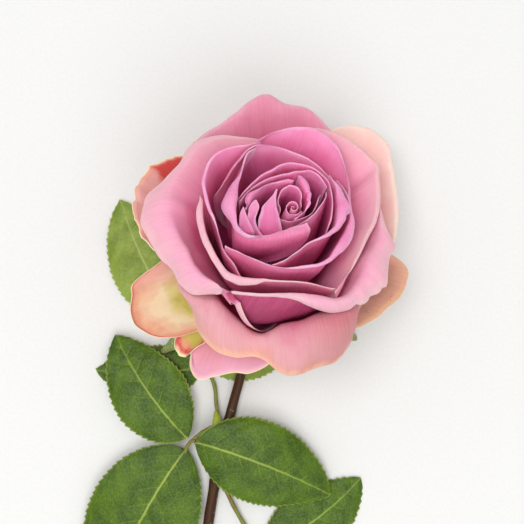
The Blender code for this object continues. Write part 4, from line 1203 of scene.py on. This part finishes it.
# %% [markdown]
# ## Sepals
# The five sepals wrapped the bud and have bent back under the bloom. Each is a narrow green sheet with a
# frayed edge and a drawn-out tip, and three of the tips rest on the surface. A sheet could be bent along
# a curve with a modifier; here a ribbon of points is laid round a curved centre line, which leaflets can
# use too.

# %% Build the sepals
GROUND_GAP_MM = 0.05
SEPAL_THICK_MM = 0.55
SEPAL_ROWS, SEPAL_COLUMNS = 60, 15
SEPAL_FRAYS = 46
# node, azimuth round the bloom's axis, tip
SEPALS = (
    ("sepal_1", 227, (-36.5, -33.0, 3.4)),
    ("sepal_2", 313, (34.5, -28.4, 0.3)),
    ("sepal_3", 30, (27.0, 19.0, 0.3)),
    ("sepal_4", 140, (-20.0, 23.0, 0.3)),
    ("sepal_5", 268, (9.0, -37.0, 4.0)),
)


def beside_line(line):
    """For each point of a centre line, the way to its side and the way up from it."""
    along = np.gradient(line, axis=0)
    along /= np.linalg.norm(along, axis=1, keepdims=True)
    side = np.cross(along, (0, 0, 1.0))
    side /= np.linalg.norm(side, axis=1, keepdims=True)
    return side[:, None], np.cross(side, along)[:, None]


def ribbon(line, v, half_widths, lift):
    """A grid round a centre line, v from -1 to 1 across it, with half widths and lifts at every point."""
    side, up = beside_line(line)
    return line[:, None] + side * (half_widths * v[None, :])[..., None] + up * lift[..., None]


def upper_face(low, thick):
    """A sheet's upper face, laid above its lower one."""
    normal = normals_of(low)
    normal = normal if normal[..., 2].sum() > 0 else -normal
    return low + normal * thick[..., None]


def make_sepal(node, azimuth, tip):
    turn = math.radians(azimuth)
    out = np.array([math.cos(turn), math.sin(turn), 0])
    start, knee = from_bloom([8.0 * out + (0, 0, -2.0), 22.0 * out + (0, 0, -9.0)])
    tip = np.array(tip)
    before = tip + (start - tip) * 0.3 + np.array([0, 0, 1.0])
    t = np.linspace(0, 1, SEPAL_ROWS)
    line = curve_between((start, start + (knee - start) * 0.8, before, tip), t)
    v = np.linspace(-1, 1, SEPAL_COLUMNS)[None, :]
    half = (3.4 * (1 - t) ** 0.55 * (0.75 + 0.9 * t) + 0.25)[:, None]
    frayed = (1 + 0.10 * np.sin(SEPAL_FRAYS * t) * smooth_step(t * 3))[:, None]
    lift = (-0.22 * v ** 2 + 0.05 * np.abs(v)) * half
    low = ribbon(line, v[0], half * frayed * np.ones_like(v), lift)
    low[..., 2] = np.maximum(low[..., 2], GROUND_GAP_MM)
    high = upper_face(low, SEPAL_THICK_MM * (0.35 + 0.65 * (1 - v ** 2)))
    stands_for(two_faced(node + "_leaf", high, low, (SEPAL_SKIN, SEPAL_SKIN)), node)


for sepal in SEPALS:
    make_sepal(*sepal)
print(len(SEPALS), "sepals")

# %% [markdown]
# ## The shape of a leaflet
# A rose leaf is five or three leaflets on a stalk. Each leaflet is an oval with a drawn-out tip and a
# saw-toothed edge whose teeth point forward. Its midrib and side veins are sunk into the upper face and
# the tissue between them is quilted. An image could give the veins, but relief is what catches the light
# on a glossy leaf, so here teeth, veins and quilting are all real shape. The same vein measure is stored
# on the points for the colour.

# %% Leaflet widths and teeth
LEAF_ROW_MM = 0.36
LEAF_COLUMNS = 53
TOOTH_MM = 2.1
TOOTH_DEPTH_MM = 0.75
SIDE_VEIN_MM = 6.4


def leaflet_columns():
    """Places across a leaflet, -1 to 1, a little closer together near its edges."""
    even = np.linspace(-1, 1, LEAF_COLUMNS)
    v = np.sin(even * np.pi / 2) * 0.35 + even * 0.65
    return (v / v[-1])[None, :]


def toothed_widths(t, long, plain, v):
    """Half widths with teeth, each of which rises slowly towards the tip and drops back sharply."""
    saw = (t * long / TOOTH_MM) % 1.0
    tooth = TOOTH_DEPTH_MM * (saw ** 1.3 - 0.5) * smooth_step(t / 0.12) * smooth_step((1 - t) / 0.05)
    return plain + tooth * smooth_step((np.abs(v) - 0.86) / 0.14)


def veins_of(number, t, long, plain, v):
    """Midrib, side veins and their phase; side veins leave the midrib slanting and bend to the tip."""
    out = np.abs(v) * plain
    alternate = np.where(v < 0, 0.0, 0.5)
    lead = 0.62 * out + 0.016 * out ** 2
    phase = (t * long - lead) / SIDE_VEIN_MM + alternate + 0.12 * np.sin(5 * t + number)
    from_vein = np.abs(phase - np.round(phase)) * SIDE_VEIN_MM * 0.8
    side_vein = np.exp(-(from_vein / 0.42) ** 2) * smooth_step(1.15 - np.abs(v))
    midrib = np.exp(-(out / 0.62) ** 2) * (1 - 0.5 * t)
    return midrib, side_vein, phase


def relief_of(out, run, phase, midrib, side_vein, v, wave):
    """How far the leaf's tissue stands up: quilted between veins that are sunk in."""
    quilt = np.sin(run * 2.3 + 3 * np.sin(out * 0.9 + wave[0])) * np.sin(out * 2.6 + wave[1] + 0.4 * run)
    puffed = 0.16 * (np.abs(np.sin(np.pi * phase)) - 0.5) * smooth_step(out / 2.0)
    return (puffed - 0.12 * side_vein - 0.42 * midrib + 0.03 * quilt) * smooth_step((1 - np.abs(v)) / 0.15)


print("teeth", TOOTH_MM, "mm long, side veins", SIDE_VEIN_MM, "mm apart")

# %% [markdown]
# ## Leaf finish
# The upper face is dark green with a thin wax skin; the lower face is paler, greyer and dull. The veins
# and the margin are yellow-green. A net of small veins about 1.3 mm across lies between the side veins.
# The scale of the net is real; the smaller net inside it would not show, so it is left to a fine noise.

# %% Leaf finishes
NET_MM = 1.3
NET_SHAKE = 1.1
SPECK_MM = 0.55
LEAF_CLOUD_MM = 9.0


def leaf_colour(tree, spot, cells, grain, deep, light, vein, margin, contrast):
    """Cloudy green, then the net, light specks, the veins and the margin over it."""
    cloud = add(tree, "TexNoise", {"Vector": spot, "Scale": 1 / LEAF_CLOUD_MM, "Detail": 4.0})
    share = add(tree, "MapRange", {0: cloud, 1: 0.3, 2: 0.7}, **EASED)
    colour = add(tree, "Mix", {0: share, 6: linear(deep), 7: linear(light)}, **COLOUR)
    on_vein = add(tree, "Attribute", out="Fac", attribute_name="vein")
    to_edge = add(tree, "Attribute", out="Fac", attribute_name="edge_mm")
    for measure, none_at, full_at, most, tint in (
        (cells, 0.10, 0.0, 0.16 * contrast, vein),
        (grain, 0.56, 0.72, 0.25 * contrast, light),
        (on_vein, 0.15, 0.95, 0.85, vein),
        (to_edge, 0.8, 0.0, 0.8, margin),
    ):
        share = add(tree, "MapRange", {0: measure, 1: none_at, 2: full_at, 4: most}, **EASED)
        colour = add(tree, "Mix", {0: share, 6: colour, 7: linear(tint)}, **COLOUR)
    return colour


def leaf_finish(name, deep, light, vein, margin, roughness=0.45, coat=0.03, contrast=1.0):
    finish, tree, shader = new_finish(
        name,
        Roughness=roughness,
        Coat_Weight=coat,
        Coat_Roughness=0.28,
        Specular_IOR_Level=0.2,
        Subsurface_Weight=0.10,
        Subsurface_Scale=0.5 * MM,
        Subsurface_Radius=(0.5, 1.0, 0.25),
    )
    spot = sheet_place(tree, 1.0, 1.0)
    shaken = add(tree, "TexNoise", {"Vector": spot, "Scale": NET_SHAKE, "Detail": 2.0}, out="Color")
    bent = add(tree, "VectorMath", {0: spot, 1: shaken}, operation="ADD")
    cells = add(tree, "TexVoronoi", {"Vector": bent, "Scale": 1 / NET_MM}, feature="DISTANCE_TO_EDGE")
    grain = add(tree, "TexNoise", {"Vector": spot, "Scale": 1 / SPECK_MM, "Detail": 3.0})
    colour = leaf_colour(tree, spot, cells, grain, deep, light, vein, margin, contrast)
    tree.links.new(colour, shader["Base Color"])
    raised = add(tree, "Math", {0: cells, 1: 1.4}, operation="MULTIPLY")
    sunk = add(tree, "Math", {0: grain, 1: 0.35}, operation="MULTIPLY")
    height = add(tree, "Math", {0: raised, 1: sunk}, operation="SUBTRACT")
    relief = add(tree, "Bump", {"Height": height, "Strength": 0.3, "Distance": 0.2 * MM})
    tree.links.new(relief, shader["Normal"])
    return finish


LEAF_UPPER = leaf_finish("rose_leaf_upper_face", "#2d4803", "#4c6a07", "#a4b84c", "#889448")
LEAF_YOUNG = leaf_finish("rose_leaf_young_face", "#647a1e", "#869a3e", "#b4c270", "#a3a860")
LEAF_UNDER = leaf_finish(
    "rose_leaf_under_face", "#7f9456", "#93a56a", "#b7c48c", "#b0a870", roughness=0.6, coat=0.0, contrast=0.7
)
print("leaf finishes with a net of", NET_MM, "mm")

# %% [markdown]
# ## Nine leaflets
# Three leaves lie round the stem. Each leaflet arches between its stalk and its tip, bows to one side, is
# folded a little along its midrib and ruffled along its edge. Those that lie on the surface are let down
# onto it. The smallest leaf is the youngest, so two of its leaflets are a lighter green.

# %% Build the leaflets
LEAF_THICK_MM = 0.42
YOUNG_LEAFLETS = ("leaflet_2_end", "leaflet_2_right")
# node, base, tip, half width, arch, sideways bow of the midrib, fold of the halves, lies on the ground
LEAFLETS = (
    ("leaflet_1_left", (-27.2, -63.2, 7.2), (-53.0, -26.6, 2.6), 13.8, 3.0, 2.4, 0.10, False),
    ("leaflet_1_right", (-23.6, -64.9, 7.2), (24.8, -84.6, 3.6), 15.2, 4.6, 2.6, -0.02, False),
    ("leaflet_1_end", (-27.7, -68.0, 5.4), (-57.0, -126.0, 1.2), 20.0, 2.4, -4.0, 0.06, True),
    ("leaflet_2_left", (-22.2, -38.4, 1.6), (-60.6, -39.6, 0.9), 10.0, 0.6, 2.0, 0.02, True),
    ("leaflet_2_right", (-19.4, -37.6, 1.3), (13.0, -29.0, 0.9), 8.0, 0.3, -2.0, 0.02, True),
    ("leaflet_2_end", (-31.4, -20.6, 1.7), (-51.6, 22.6, 1.0), 13.0, 1.6, 2.4, 0.04, True),
    ("leaflet_3_right", (0.8, -105.2, 1.6), (36.0, -79.0, 0.9), 12.4, 0.6, -3.0, 0.04, True),
    ("leaflet_3_end", (3.0, -114.4, 1.9), (13.0, -166.0, 1.0), 16.0, 2.4, 2.6, 0.06, True),
    ("leaflet_3_left", (-1.6, -107.6, 2.4), (-41.0, -147.0, 3.4), 12.6, 6.4, -2.4, 0.02, False),
)


def make_leaflet(number, node, base, tip, half, arch, bow, fold, lies):
    base, tip = np.array(base), np.array(tip)
    run = tip - base
    long = np.linalg.norm(run)
    bent = np.array([-run[1], run[0], 0]) / np.hypot(run[0], run[1]) * bow + np.array([0, 0, arch])
    t = np.linspace(0, 1, int(long / LEAF_ROW_MM))
    line = curve_between((base, base + run * 0.33 + bent, base + run * 0.7 + bent, tip), t)
    t, v = t[:, None], leaflet_columns()
    plain = half * np.maximum(np.sin(np.pi * t ** 0.82) ** 0.72, 0.015)

    wave = np.random.default_rng(number + 300).uniform(0, 6.28, 4)
    midrib, side_vein, phase = veins_of(number, t, long, plain, v)
    relief = relief_of(np.abs(v) * plain, t * long, phase, midrib, side_vein, v, wave)
    ruffle = 0.55 * np.sin(2 * np.pi * (t * 2.6 + 0.25 * np.sign(v)) + wave[2]) * np.abs(v) ** 2.5
    lift = (fold * np.abs(v) - 0.10 * v * v) * plain + relief + ruffle * (0.6 if lies else 1.0)
    low = ribbon(line, v[0], toothed_widths(t, long, plain, v), lift)
    if lies:
        low[..., 2] -= low[..., 2].min() - GROUND_GAP_MM
    thick = LEAF_THICK_MM * (0.45 + 0.55 * smooth_step((1 - np.abs(v)) / 0.2)) + 0.5 * midrib
    upper = LEAF_YOUNG if node in YOUNG_LEAFLETS else LEAF_UPPER
    piece = two_faced(node + "_blade", upper_face(low, thick), low, (upper, LEAF_UNDER))
    store(piece, "vein", np.tile(np.maximum(midrib, 0.4 * side_vein).ravel(), 2))
    stands_for(piece, node)
    print(f"{node:16s} {long:5.1f} mm long, {len(line)} rows")


for number, leaflet in enumerate(LEAFLETS):
    make_leaflet(number, *leaflet)

# %% [markdown]
# ## Cane, stalks and prickles: the skin
# The stem is young cane: smooth green bark that the sun has browned, with fine lengthwise streaks and
# pale pores, the lenticels. Leaf stalks and the stipules at their foot are the same skin and greener, and
# prickles are the same skin dried to a red-brown. A wood texture would give rings; stretched noise gives
# the streaks.

# %% Cane finishes
STREAK_WIDE_MM, STREAK_LONG_MM = 2 / 3, 6.25
CANE_CLOUD_MM = 9.0
LENTICEL_MM = 2.4


def cane_skin(name, brown, green, green_from, green_to):
    finish, tree, shader = new_finish(
        name, Roughness=0.42, Specular_IOR_Level=0.2, Subsurface_Weight=0.06, Subsurface_Scale=0.6 * MM
    )
    place = add(tree, "TexCoord", out="Object")
    wide, long = 1 / (STREAK_WIDE_MM * MM), 1 / (STREAK_LONG_MM * MM)
    drawn = add(tree, "Mapping", {"Vector": place, "Scale": (wide, long, wide)})
    streak = add(tree, "TexNoise", {"Vector": drawn, "Scale": 1.0, "Detail": 4.0})
    cloud = add(tree, "TexNoise", {"Vector": place, "Scale": 1 / (CANE_CLOUD_MM * MM), "Detail": 3.0})
    streaky = add(tree, "Math", {0: streak, 1: 0.4}, operation="MULTIPLY")
    cloudy = add(tree, "Math", {0: cloud, 1: 0.6}, operation="MULTIPLY")
    both = add(tree, "Math", {0: streaky, 1: cloudy}, operation="ADD")
    share = add(tree, "MapRange", {0: both, 1: green_from, 2: green_to}, **EASED)
    colour = add(tree, "Mix", {0: share, 6: linear(brown), 7: linear(green)}, **COLOUR)
    lenticel = add(tree, "TexVoronoi", {"Vector": place, "Scale": 1 / (LENTICEL_MM * MM)})
    share = add(tree, "MapRange", {0: lenticel, 1: 0.16, 2: 0.08, 4: 0.5}, **EASED)
    colour = add(tree, "Mix", {0: share, 6: colour, 7: linear("#9a8a5c")}, **COLOUR)
    tree.links.new(colour, shader["Base Color"])
    relief = add(tree, "Bump", {"Height": streak, "Strength": 0.25, "Distance": 0.15 * MM})
    tree.links.new(relief, shader["Normal"])
    return finish


CANE_SKIN = cane_skin("rose_cane_skin", "#3d2008", "#4a4016", 0.48, 0.74)
STALK_SKIN = cane_skin("rose_stalk_skin", "#7a6638", "#748038", 0.4, 0.6)
STIPULE_SKIN = cane_skin("rose_stipule_skin", "#76851f", "#98a63a", 0.35, 0.6)
PRICKLE_SKIN = cane_skin("rose_prickle_skin", "#6e4027", "#8a6640", 0.4, 0.6)
print("cane skins with streaks", STREAK_LONG_MM, "mm long")

# %% [markdown]
# ## The cut end
# A clean cut through young cane shows white pith, a ring of pale green wood with a fine grain, and a thin
# green rind. The skin of the cut end stores how far each point is from the pith, and one ramp colours it
# by that.

# %% Cut wood finish
STEM_RADIUS_MM = (1.72, 2.2)
GRAIN_MM = 0.3
CUT_RINGS = (
    (0.0, "#e6e3c4"), (0.36, "#dedbb0"), (0.46, "#c3c688"), (0.8, "#b4ba76"), (0.88, "#7f8a3c"),
    (1.0, "#4a3a1a"),
)


def cut_wood(name):
    finish, tree, shader = new_finish(name, Roughness=0.6, Specular_IOR_Level=0.3)
    from_pith = add(tree, "Attribute", out="Fac", attribute_name="from_pith_mm")
    place = add(tree, "TexCoord", out="Object")
    grain = add(tree, "TexNoise", {"Vector": place, "Scale": 1 / (GRAIN_MM * MM), "Detail": 3.0})
    from_mean = add(tree, "Math", {0: grain, 1: 0.5}, operation="SUBTRACT")
    wander = add(tree, "Math", {0: from_mean, 1: 0.12}, operation="MULTIPLY")
    share = add(tree, "Math", {0: from_pith, 1: STEM_RADIUS_MM[1]}, operation="DIVIDE")
    out = add(tree, "Math", {0: share, 1: wander}, operation="ADD")
    tree.links.new(add(tree, "ValToRGB", {0: out}, stops=CUT_RINGS), shader["Base Color"])
    relief = add(tree, "Bump", {"Height": grain, "Strength": 0.3, "Distance": 0.1 * MM})
    tree.links.new(relief, shader["Normal"])
    return finish


CUT_WOOD = cut_wood("rose_cut_wood")
print("the cut shows", len(CUT_RINGS), "rings of colour")

# %% [markdown]
# ## The stem
# The stem bends at its neck under the bloom and swells a little at each node, where a leaf stalk leaves
# it. Curves with a bevel would give plain tubes; rings laid along a curve also take swellings and a
# slightly uneven bark, so tubes are made of rings here. The last rings close over the cut end.

# %% Build the stem
STEM_POINTS = (
    (-0.7, -11.4, 12.3), (-2.2, -16.2, 9.2), (-4.2, -23.6, 6.8), (-6.0, -32.4, 5.1), (-8.0, -42.2, 3.6),
    (-10.4, -51.0, 2.7), (-13.5, -63.1, 2.4), (-16.4, -76.0, 2.4), (-18.6, -89.0, 2.4), (-21.0, -105.0, 2.4),
    (-23.6, -125.0, 2.4), (-26.6, -148.0, 2.4), (-28.6, -170.0, 2.4), (-29.6, -193.0, 2.4),
)
STEM_RINGS, STEM_SIDES = 260, 28
# place along the plant, height, width
STEM_NODES = ((-60.0, 0.45, 2.6), (-79.0, 0.35, 2.6))
CUT_SHARES = (0.97, 0.8, 0.6, 0.4, 0.2, 0.05)


def through(points, count):
    """Evenly spread points on the smooth curve through the given ones."""
    points = np.asarray(points, float)
    found = between(points, np.arange(12 * (len(points) - 1) + 1) / 12)
    run = lengths(found, 0)
    at = np.linspace(0, run[-1], count)
    return np.stack([np.interp(at, run, found[:, k]) for k in range(3)], 1)


def tube_rings(line, radii, sides):
    """Rings round a line."""
    side, up = beside_line(line)
    turn = circle(sides)[None, :, None]
    return line[:, None] + (side * np.cos(turn) + up * np.sin(turn)) * np.reshape(radii, (len(line), -1, 1))


def make_stem():
    hip_base = HIP_OUTLINE[-1][1]
    neck = from_bloom([[0, 0, hip_base - 0.5], [0, 0, hip_base - 2.4]])
    line = through(np.concatenate([neck, np.array(STEM_POINTS)]), STEM_RINGS)
    run = np.linspace(0, 1, STEM_RINGS)
    width = np.interp(run, (0.25, 0.8), STEM_RADIUS_MM)
    line[:, 2] = np.maximum(line[:, 2], width + GROUND_GAP_MM)
    turn, run = circle(STEM_SIDES)[None, :], run[:, None]
    bark = 0.05 * np.sin(40 * run + 3 * np.cos(turn)) + 0.03 * np.sin(97 * run + 2 * turn)
    upper = smooth_step(np.sin(turn) + 0.6)
    swell = bumps(line[:, 1:2], STEM_NODES)
    rings = tube_rings(line, width[:, None] + (bark + swell) * upper, STEM_SIDES)
    pith = rings[-1].mean(0)
    cut = [pith + (rings[-1] - pith) * share for share in CUT_SHARES]
    piece = solid_rings("stem_cane", np.concatenate([rings, cut]), CANE_SKIN, CUT_WOOD, len(cut))
    stands_for(piece, "stem")


make_stem()
print("stem has", STEM_RINGS, "rings and", len(CUT_SHARES), "in its cut end")

# %% [markdown]
# ## Leaf stalks and stipules
# Each leaf has a stalk, the petiole, from the stem, and goes on between its leaflets as the rachis. Where
# the first stalk meets the cane, it clasps it with a pair of small green wings, the stipules; a short
# tube that swells and narrows over the foot of the stalk gives them.

# %% Build the stalks
STALK_RINGS, STALK_SIDES, STIPULE_SIDES = 40, 16, 24
# node, radius, points on its line
STALKS = (
    ("petiole_1", 0.75, ((-15.4, -59.4, 4.0), (-18.0, -59.8, 5.2), (-21.6, -61.6, 5.9), (-24.9, -64.3, 6.2))),
    ("rachis_1", 0.7, ((-24.0, -64.6, 6.9), (-25.4, -64.6, 6.3), (-27.0, -66.6, 5.9), (-28.0, -69.0, 5.7))),
    ("petiole_2", 0.7, ((-15.5, -58.4, 4.5), (-16.6, -52.0, 3.4), (-17.4, -45.0, 2.2), (-20.8, -37.6, 1.8))),
    ("rachis_2", 0.7, ((-21.4, -36.8, 1.8), (-25.6, -29.6, 1.7), (-30.6, -21.8, 1.7))),
    ("petiole_3", 0.8, ((-14.6, -79.6, 3.6), (-10.4, -88.6, 3.0), (-6.0, -96.6, 2.4), (-0.6, -105.6, 2.0))),
    ("rachis_3", 0.7, ((0.2, -107.0, 2.0), (1.6, -110.0, 1.9), (2.6, -113.0, 1.9))),
)
STIPULE_LINE = ((-16.7, -54.2, 4.2), (-16.2, -57.6, 5.2), (-16.4, -61.0, 5.6), (-17.0, -63.8, 5.0))
STIPULE_RADII_MM = (0.7, 1.7, 2.1, 0.9)

for node, radius, points in STALKS:
    radii = radius * (1 + 0.06 * np.sin(np.linspace(0, 23, STALK_RINGS)))
    rings = tube_rings(through(points, STALK_RINGS), radii, STALK_SIDES)
    stands_for(solid_rings(node + "_stalk", rings, STALK_SKIN), node)

radii = np.interp(np.linspace(0, 1, STALK_RINGS), (0, 0.35, 0.7, 1), STIPULE_RADII_MM)
rings = tube_rings(through(STIPULE_LINE, STALK_RINGS), radii, STIPULE_SIDES)
stands_for(solid_rings("petiole_1_stipules", rings, STIPULE_SKIN), "petiole_1")
print(len(STALKS), "stalks and a pair of stipules")

# %% [markdown]
# ## Prickles
# A rose has prickles, not thorns: they are flat-sided hooks of skin with a long oval base, pointing down
# the stem. Oval rings that shrink along a bent line give one.

# %% Build the prickles
PRICKLE_RINGS, PRICKLE_SIDES = 24, 16
PRICKLE_HOOK_MM = 1.1
PRICKLE_BASE_MM, PRICKLE_TIP_MM = 1.5, 0.10
# node, root, way it points, length
PRICKLES = (
    ("prickle_1", (-25.4, -117.0, 2.6), (-1.0, -0.25, 0.12), 4.6),
    ("prickle_2", (-22.4, -137.0, 2.6), (1.0, -0.25, 0.15), 5.0),
    ("prickle_3", (-31.2, -160.0, 2.6), (-1.0, -0.2, 0.1), 5.0),
    ("prickle_4", (-26.6, -178.0, 2.6), (1.0, -0.2, 0.1), 4.4),
)


def make_prickle(node, root, way, long):
    way = np.array(way) / np.linalg.norm(way)
    t = np.linspace(0, 1, PRICKLE_RINGS)[:, None]
    line = np.array(root) + way * long * t + np.array([0, -PRICKLE_HOOK_MM, 0]) * t ** 2
    turn = circle(PRICKLE_SIDES)
    flat = 0.62 + 0.38 * (1 - t)
    oval = np.stack([0 * turn * t, 1.15 * np.cos(turn) * t ** 0, np.sin(turn) * flat], -1)
    rings = line[:, None] + oval * (PRICKLE_BASE_MM * (1 - t) ** 0.8 + PRICKLE_TIP_MM)[..., None]
    rings = rings if way[0] > 0 else rings[:, ::-1]
    stands_for(solid_rings(node + "_hook", rings, PRICKLE_SKIN), node)


for prickle in PRICKLES:
    make_prickle(*prickle)
print(len(PRICKLES), "prickles")

# %% [markdown]
# ## Floor
# The rose lies on a plain pale floor of matt studio paper. Its fibres are drawn about a millimetre across
# and a shade lighter than the paper between them, so that it isn't quite even.

# %% Lay the floor
FLOOR_HALF_M = 1.5
FIBRE_MM = 10 / 9
paper_finish, paper_tree, shader = new_finish("matt_studio_paper", Roughness=0.9, Specular_IOR_Level=0.2)
paper_at = add(paper_tree, "TexCoord", out="Object")
fibres = add(paper_tree, "TexNoise", {"Vector": paper_at, "Scale": 1 / (FIBRE_MM * MM), "Detail": 4.0})
fibre_share = add(paper_tree, "MapRange", {0: fibres, 1: 0.3, 2: 0.7}, **EASED)
paper = add(paper_tree, "Mix", {0: fibre_share, 6: linear("#dededc"), 7: linear("#e1e1df")}, **COLOUR)
paper_tree.links.new(paper, shader["Base Color"])

corners = [(x * FLOOR_HALF_M, y * FLOOR_HALF_M, 0) for x, y in ((-1, -1), (1, -1), (1, 1), (-1, 1))]
floor_mesh = bpy.data.meshes.new("floor")
floor_mesh.from_pydata(corners, [], [(0, 1, 2, 3)])
floor_mesh.materials.append(paper_finish)
floor = bpy.data.objects.new("floor", floor_mesh)
bpy.context.scene.collection.objects.link(floor)
print("floor", 2 * FLOOR_HALF_M, "m wide")

# %% [markdown]
# ## Light
# A wide soft lamp above the upper left gives the shape and an even wider one from below fills the
# shadows, with the white world, at a level where a colour shows about as it is written. The world is
# brighter where it is looked at, directly or in a reflection, than where it lights the rose.

# %% World and lamps
WORLD_LIGHT, WORLD_SEEN = 0.72, 0.92
# name, place from the bloom in metres, width in metres, watts
LAMPS = (("key_lamp", (-0.20, 0.10, 1.10), 0.45, 4.7), ("fill_lamp", (0.12, -0.55, 0.95), 0.8, 3.7))

world = bpy.data.worlds.new("studio")
bpy.context.scene.world = world
world.use_nodes = True
sky = world.node_tree
seen = 0.0
for ray in ("Is Camera Ray", "Is Glossy Ray", "Is Transmission Ray"):
    seen = add(sky, "Math", {0: seen, 1: add(sky, "LightPath", out=ray)}, operation="MAXIMUM")
strength = add(sky, "Mix", {0: seen, 2: WORLD_LIGHT, 3: WORLD_SEEN})
sky.links.new(strength, sky.nodes["Background"].inputs["Strength"])
sky.nodes["Background"].inputs["Color"].default_value = (1, 1, 1, 1)

bloom = Vector((PLANT_SHIFT * MM).tolist())
for name, place, width, watts in LAMPS:
    lamp = bpy.data.lights.new(name, "AREA")
    lamp.shape = "DISK"
    lamp.size = width
    lamp.energy = watts
    held = bpy.data.objects.new(name, lamp)
    held.location = bloom + Vector(place)
    held.rotation_euler = Vector(place).to_track_quat("Z", "Y").to_euler()
    bpy.context.scene.collection.objects.link(held)
print(len(LAMPS), "lamps aimed at", np.round(np.array(bloom) / MM, 1), "mm")

# %% [markdown]
# ## Camera
# The camera looks straight down on the bloom from 400 mm, which is how the bloom faces a viewer. Its lens
# is chosen so that the view is 173 mm wide at the height of the bloom's shoulders.

# %% Camera
CAMERA_HEIGHT_MM = 400.0
SHOULDER_HEIGHT_MM = 40.0
VIEW_WIDTH_MM = 172.92
SENSOR_MM = 36.0

lens = bpy.data.cameras.new("camera")
lens.sensor_width = SENSOR_MM
lens.lens = SENSOR_MM * (CAMERA_HEIGHT_MM - SHOULDER_HEIGHT_MM) / VIEW_WIDTH_MM
camera = bpy.data.objects.new("camera", lens)
camera.location = bloom + Vector((0, 0, CAMERA_HEIGHT_MM * MM))
bpy.context.scene.collection.objects.link(camera)
bpy.context.scene.camera = camera
bpy.context.scene.view_settings.view_transform = "Standard"
print("camera at", np.round(np.array(camera.location) / MM, 1), "mm, lens", round(lens.lens, 2), "mm")
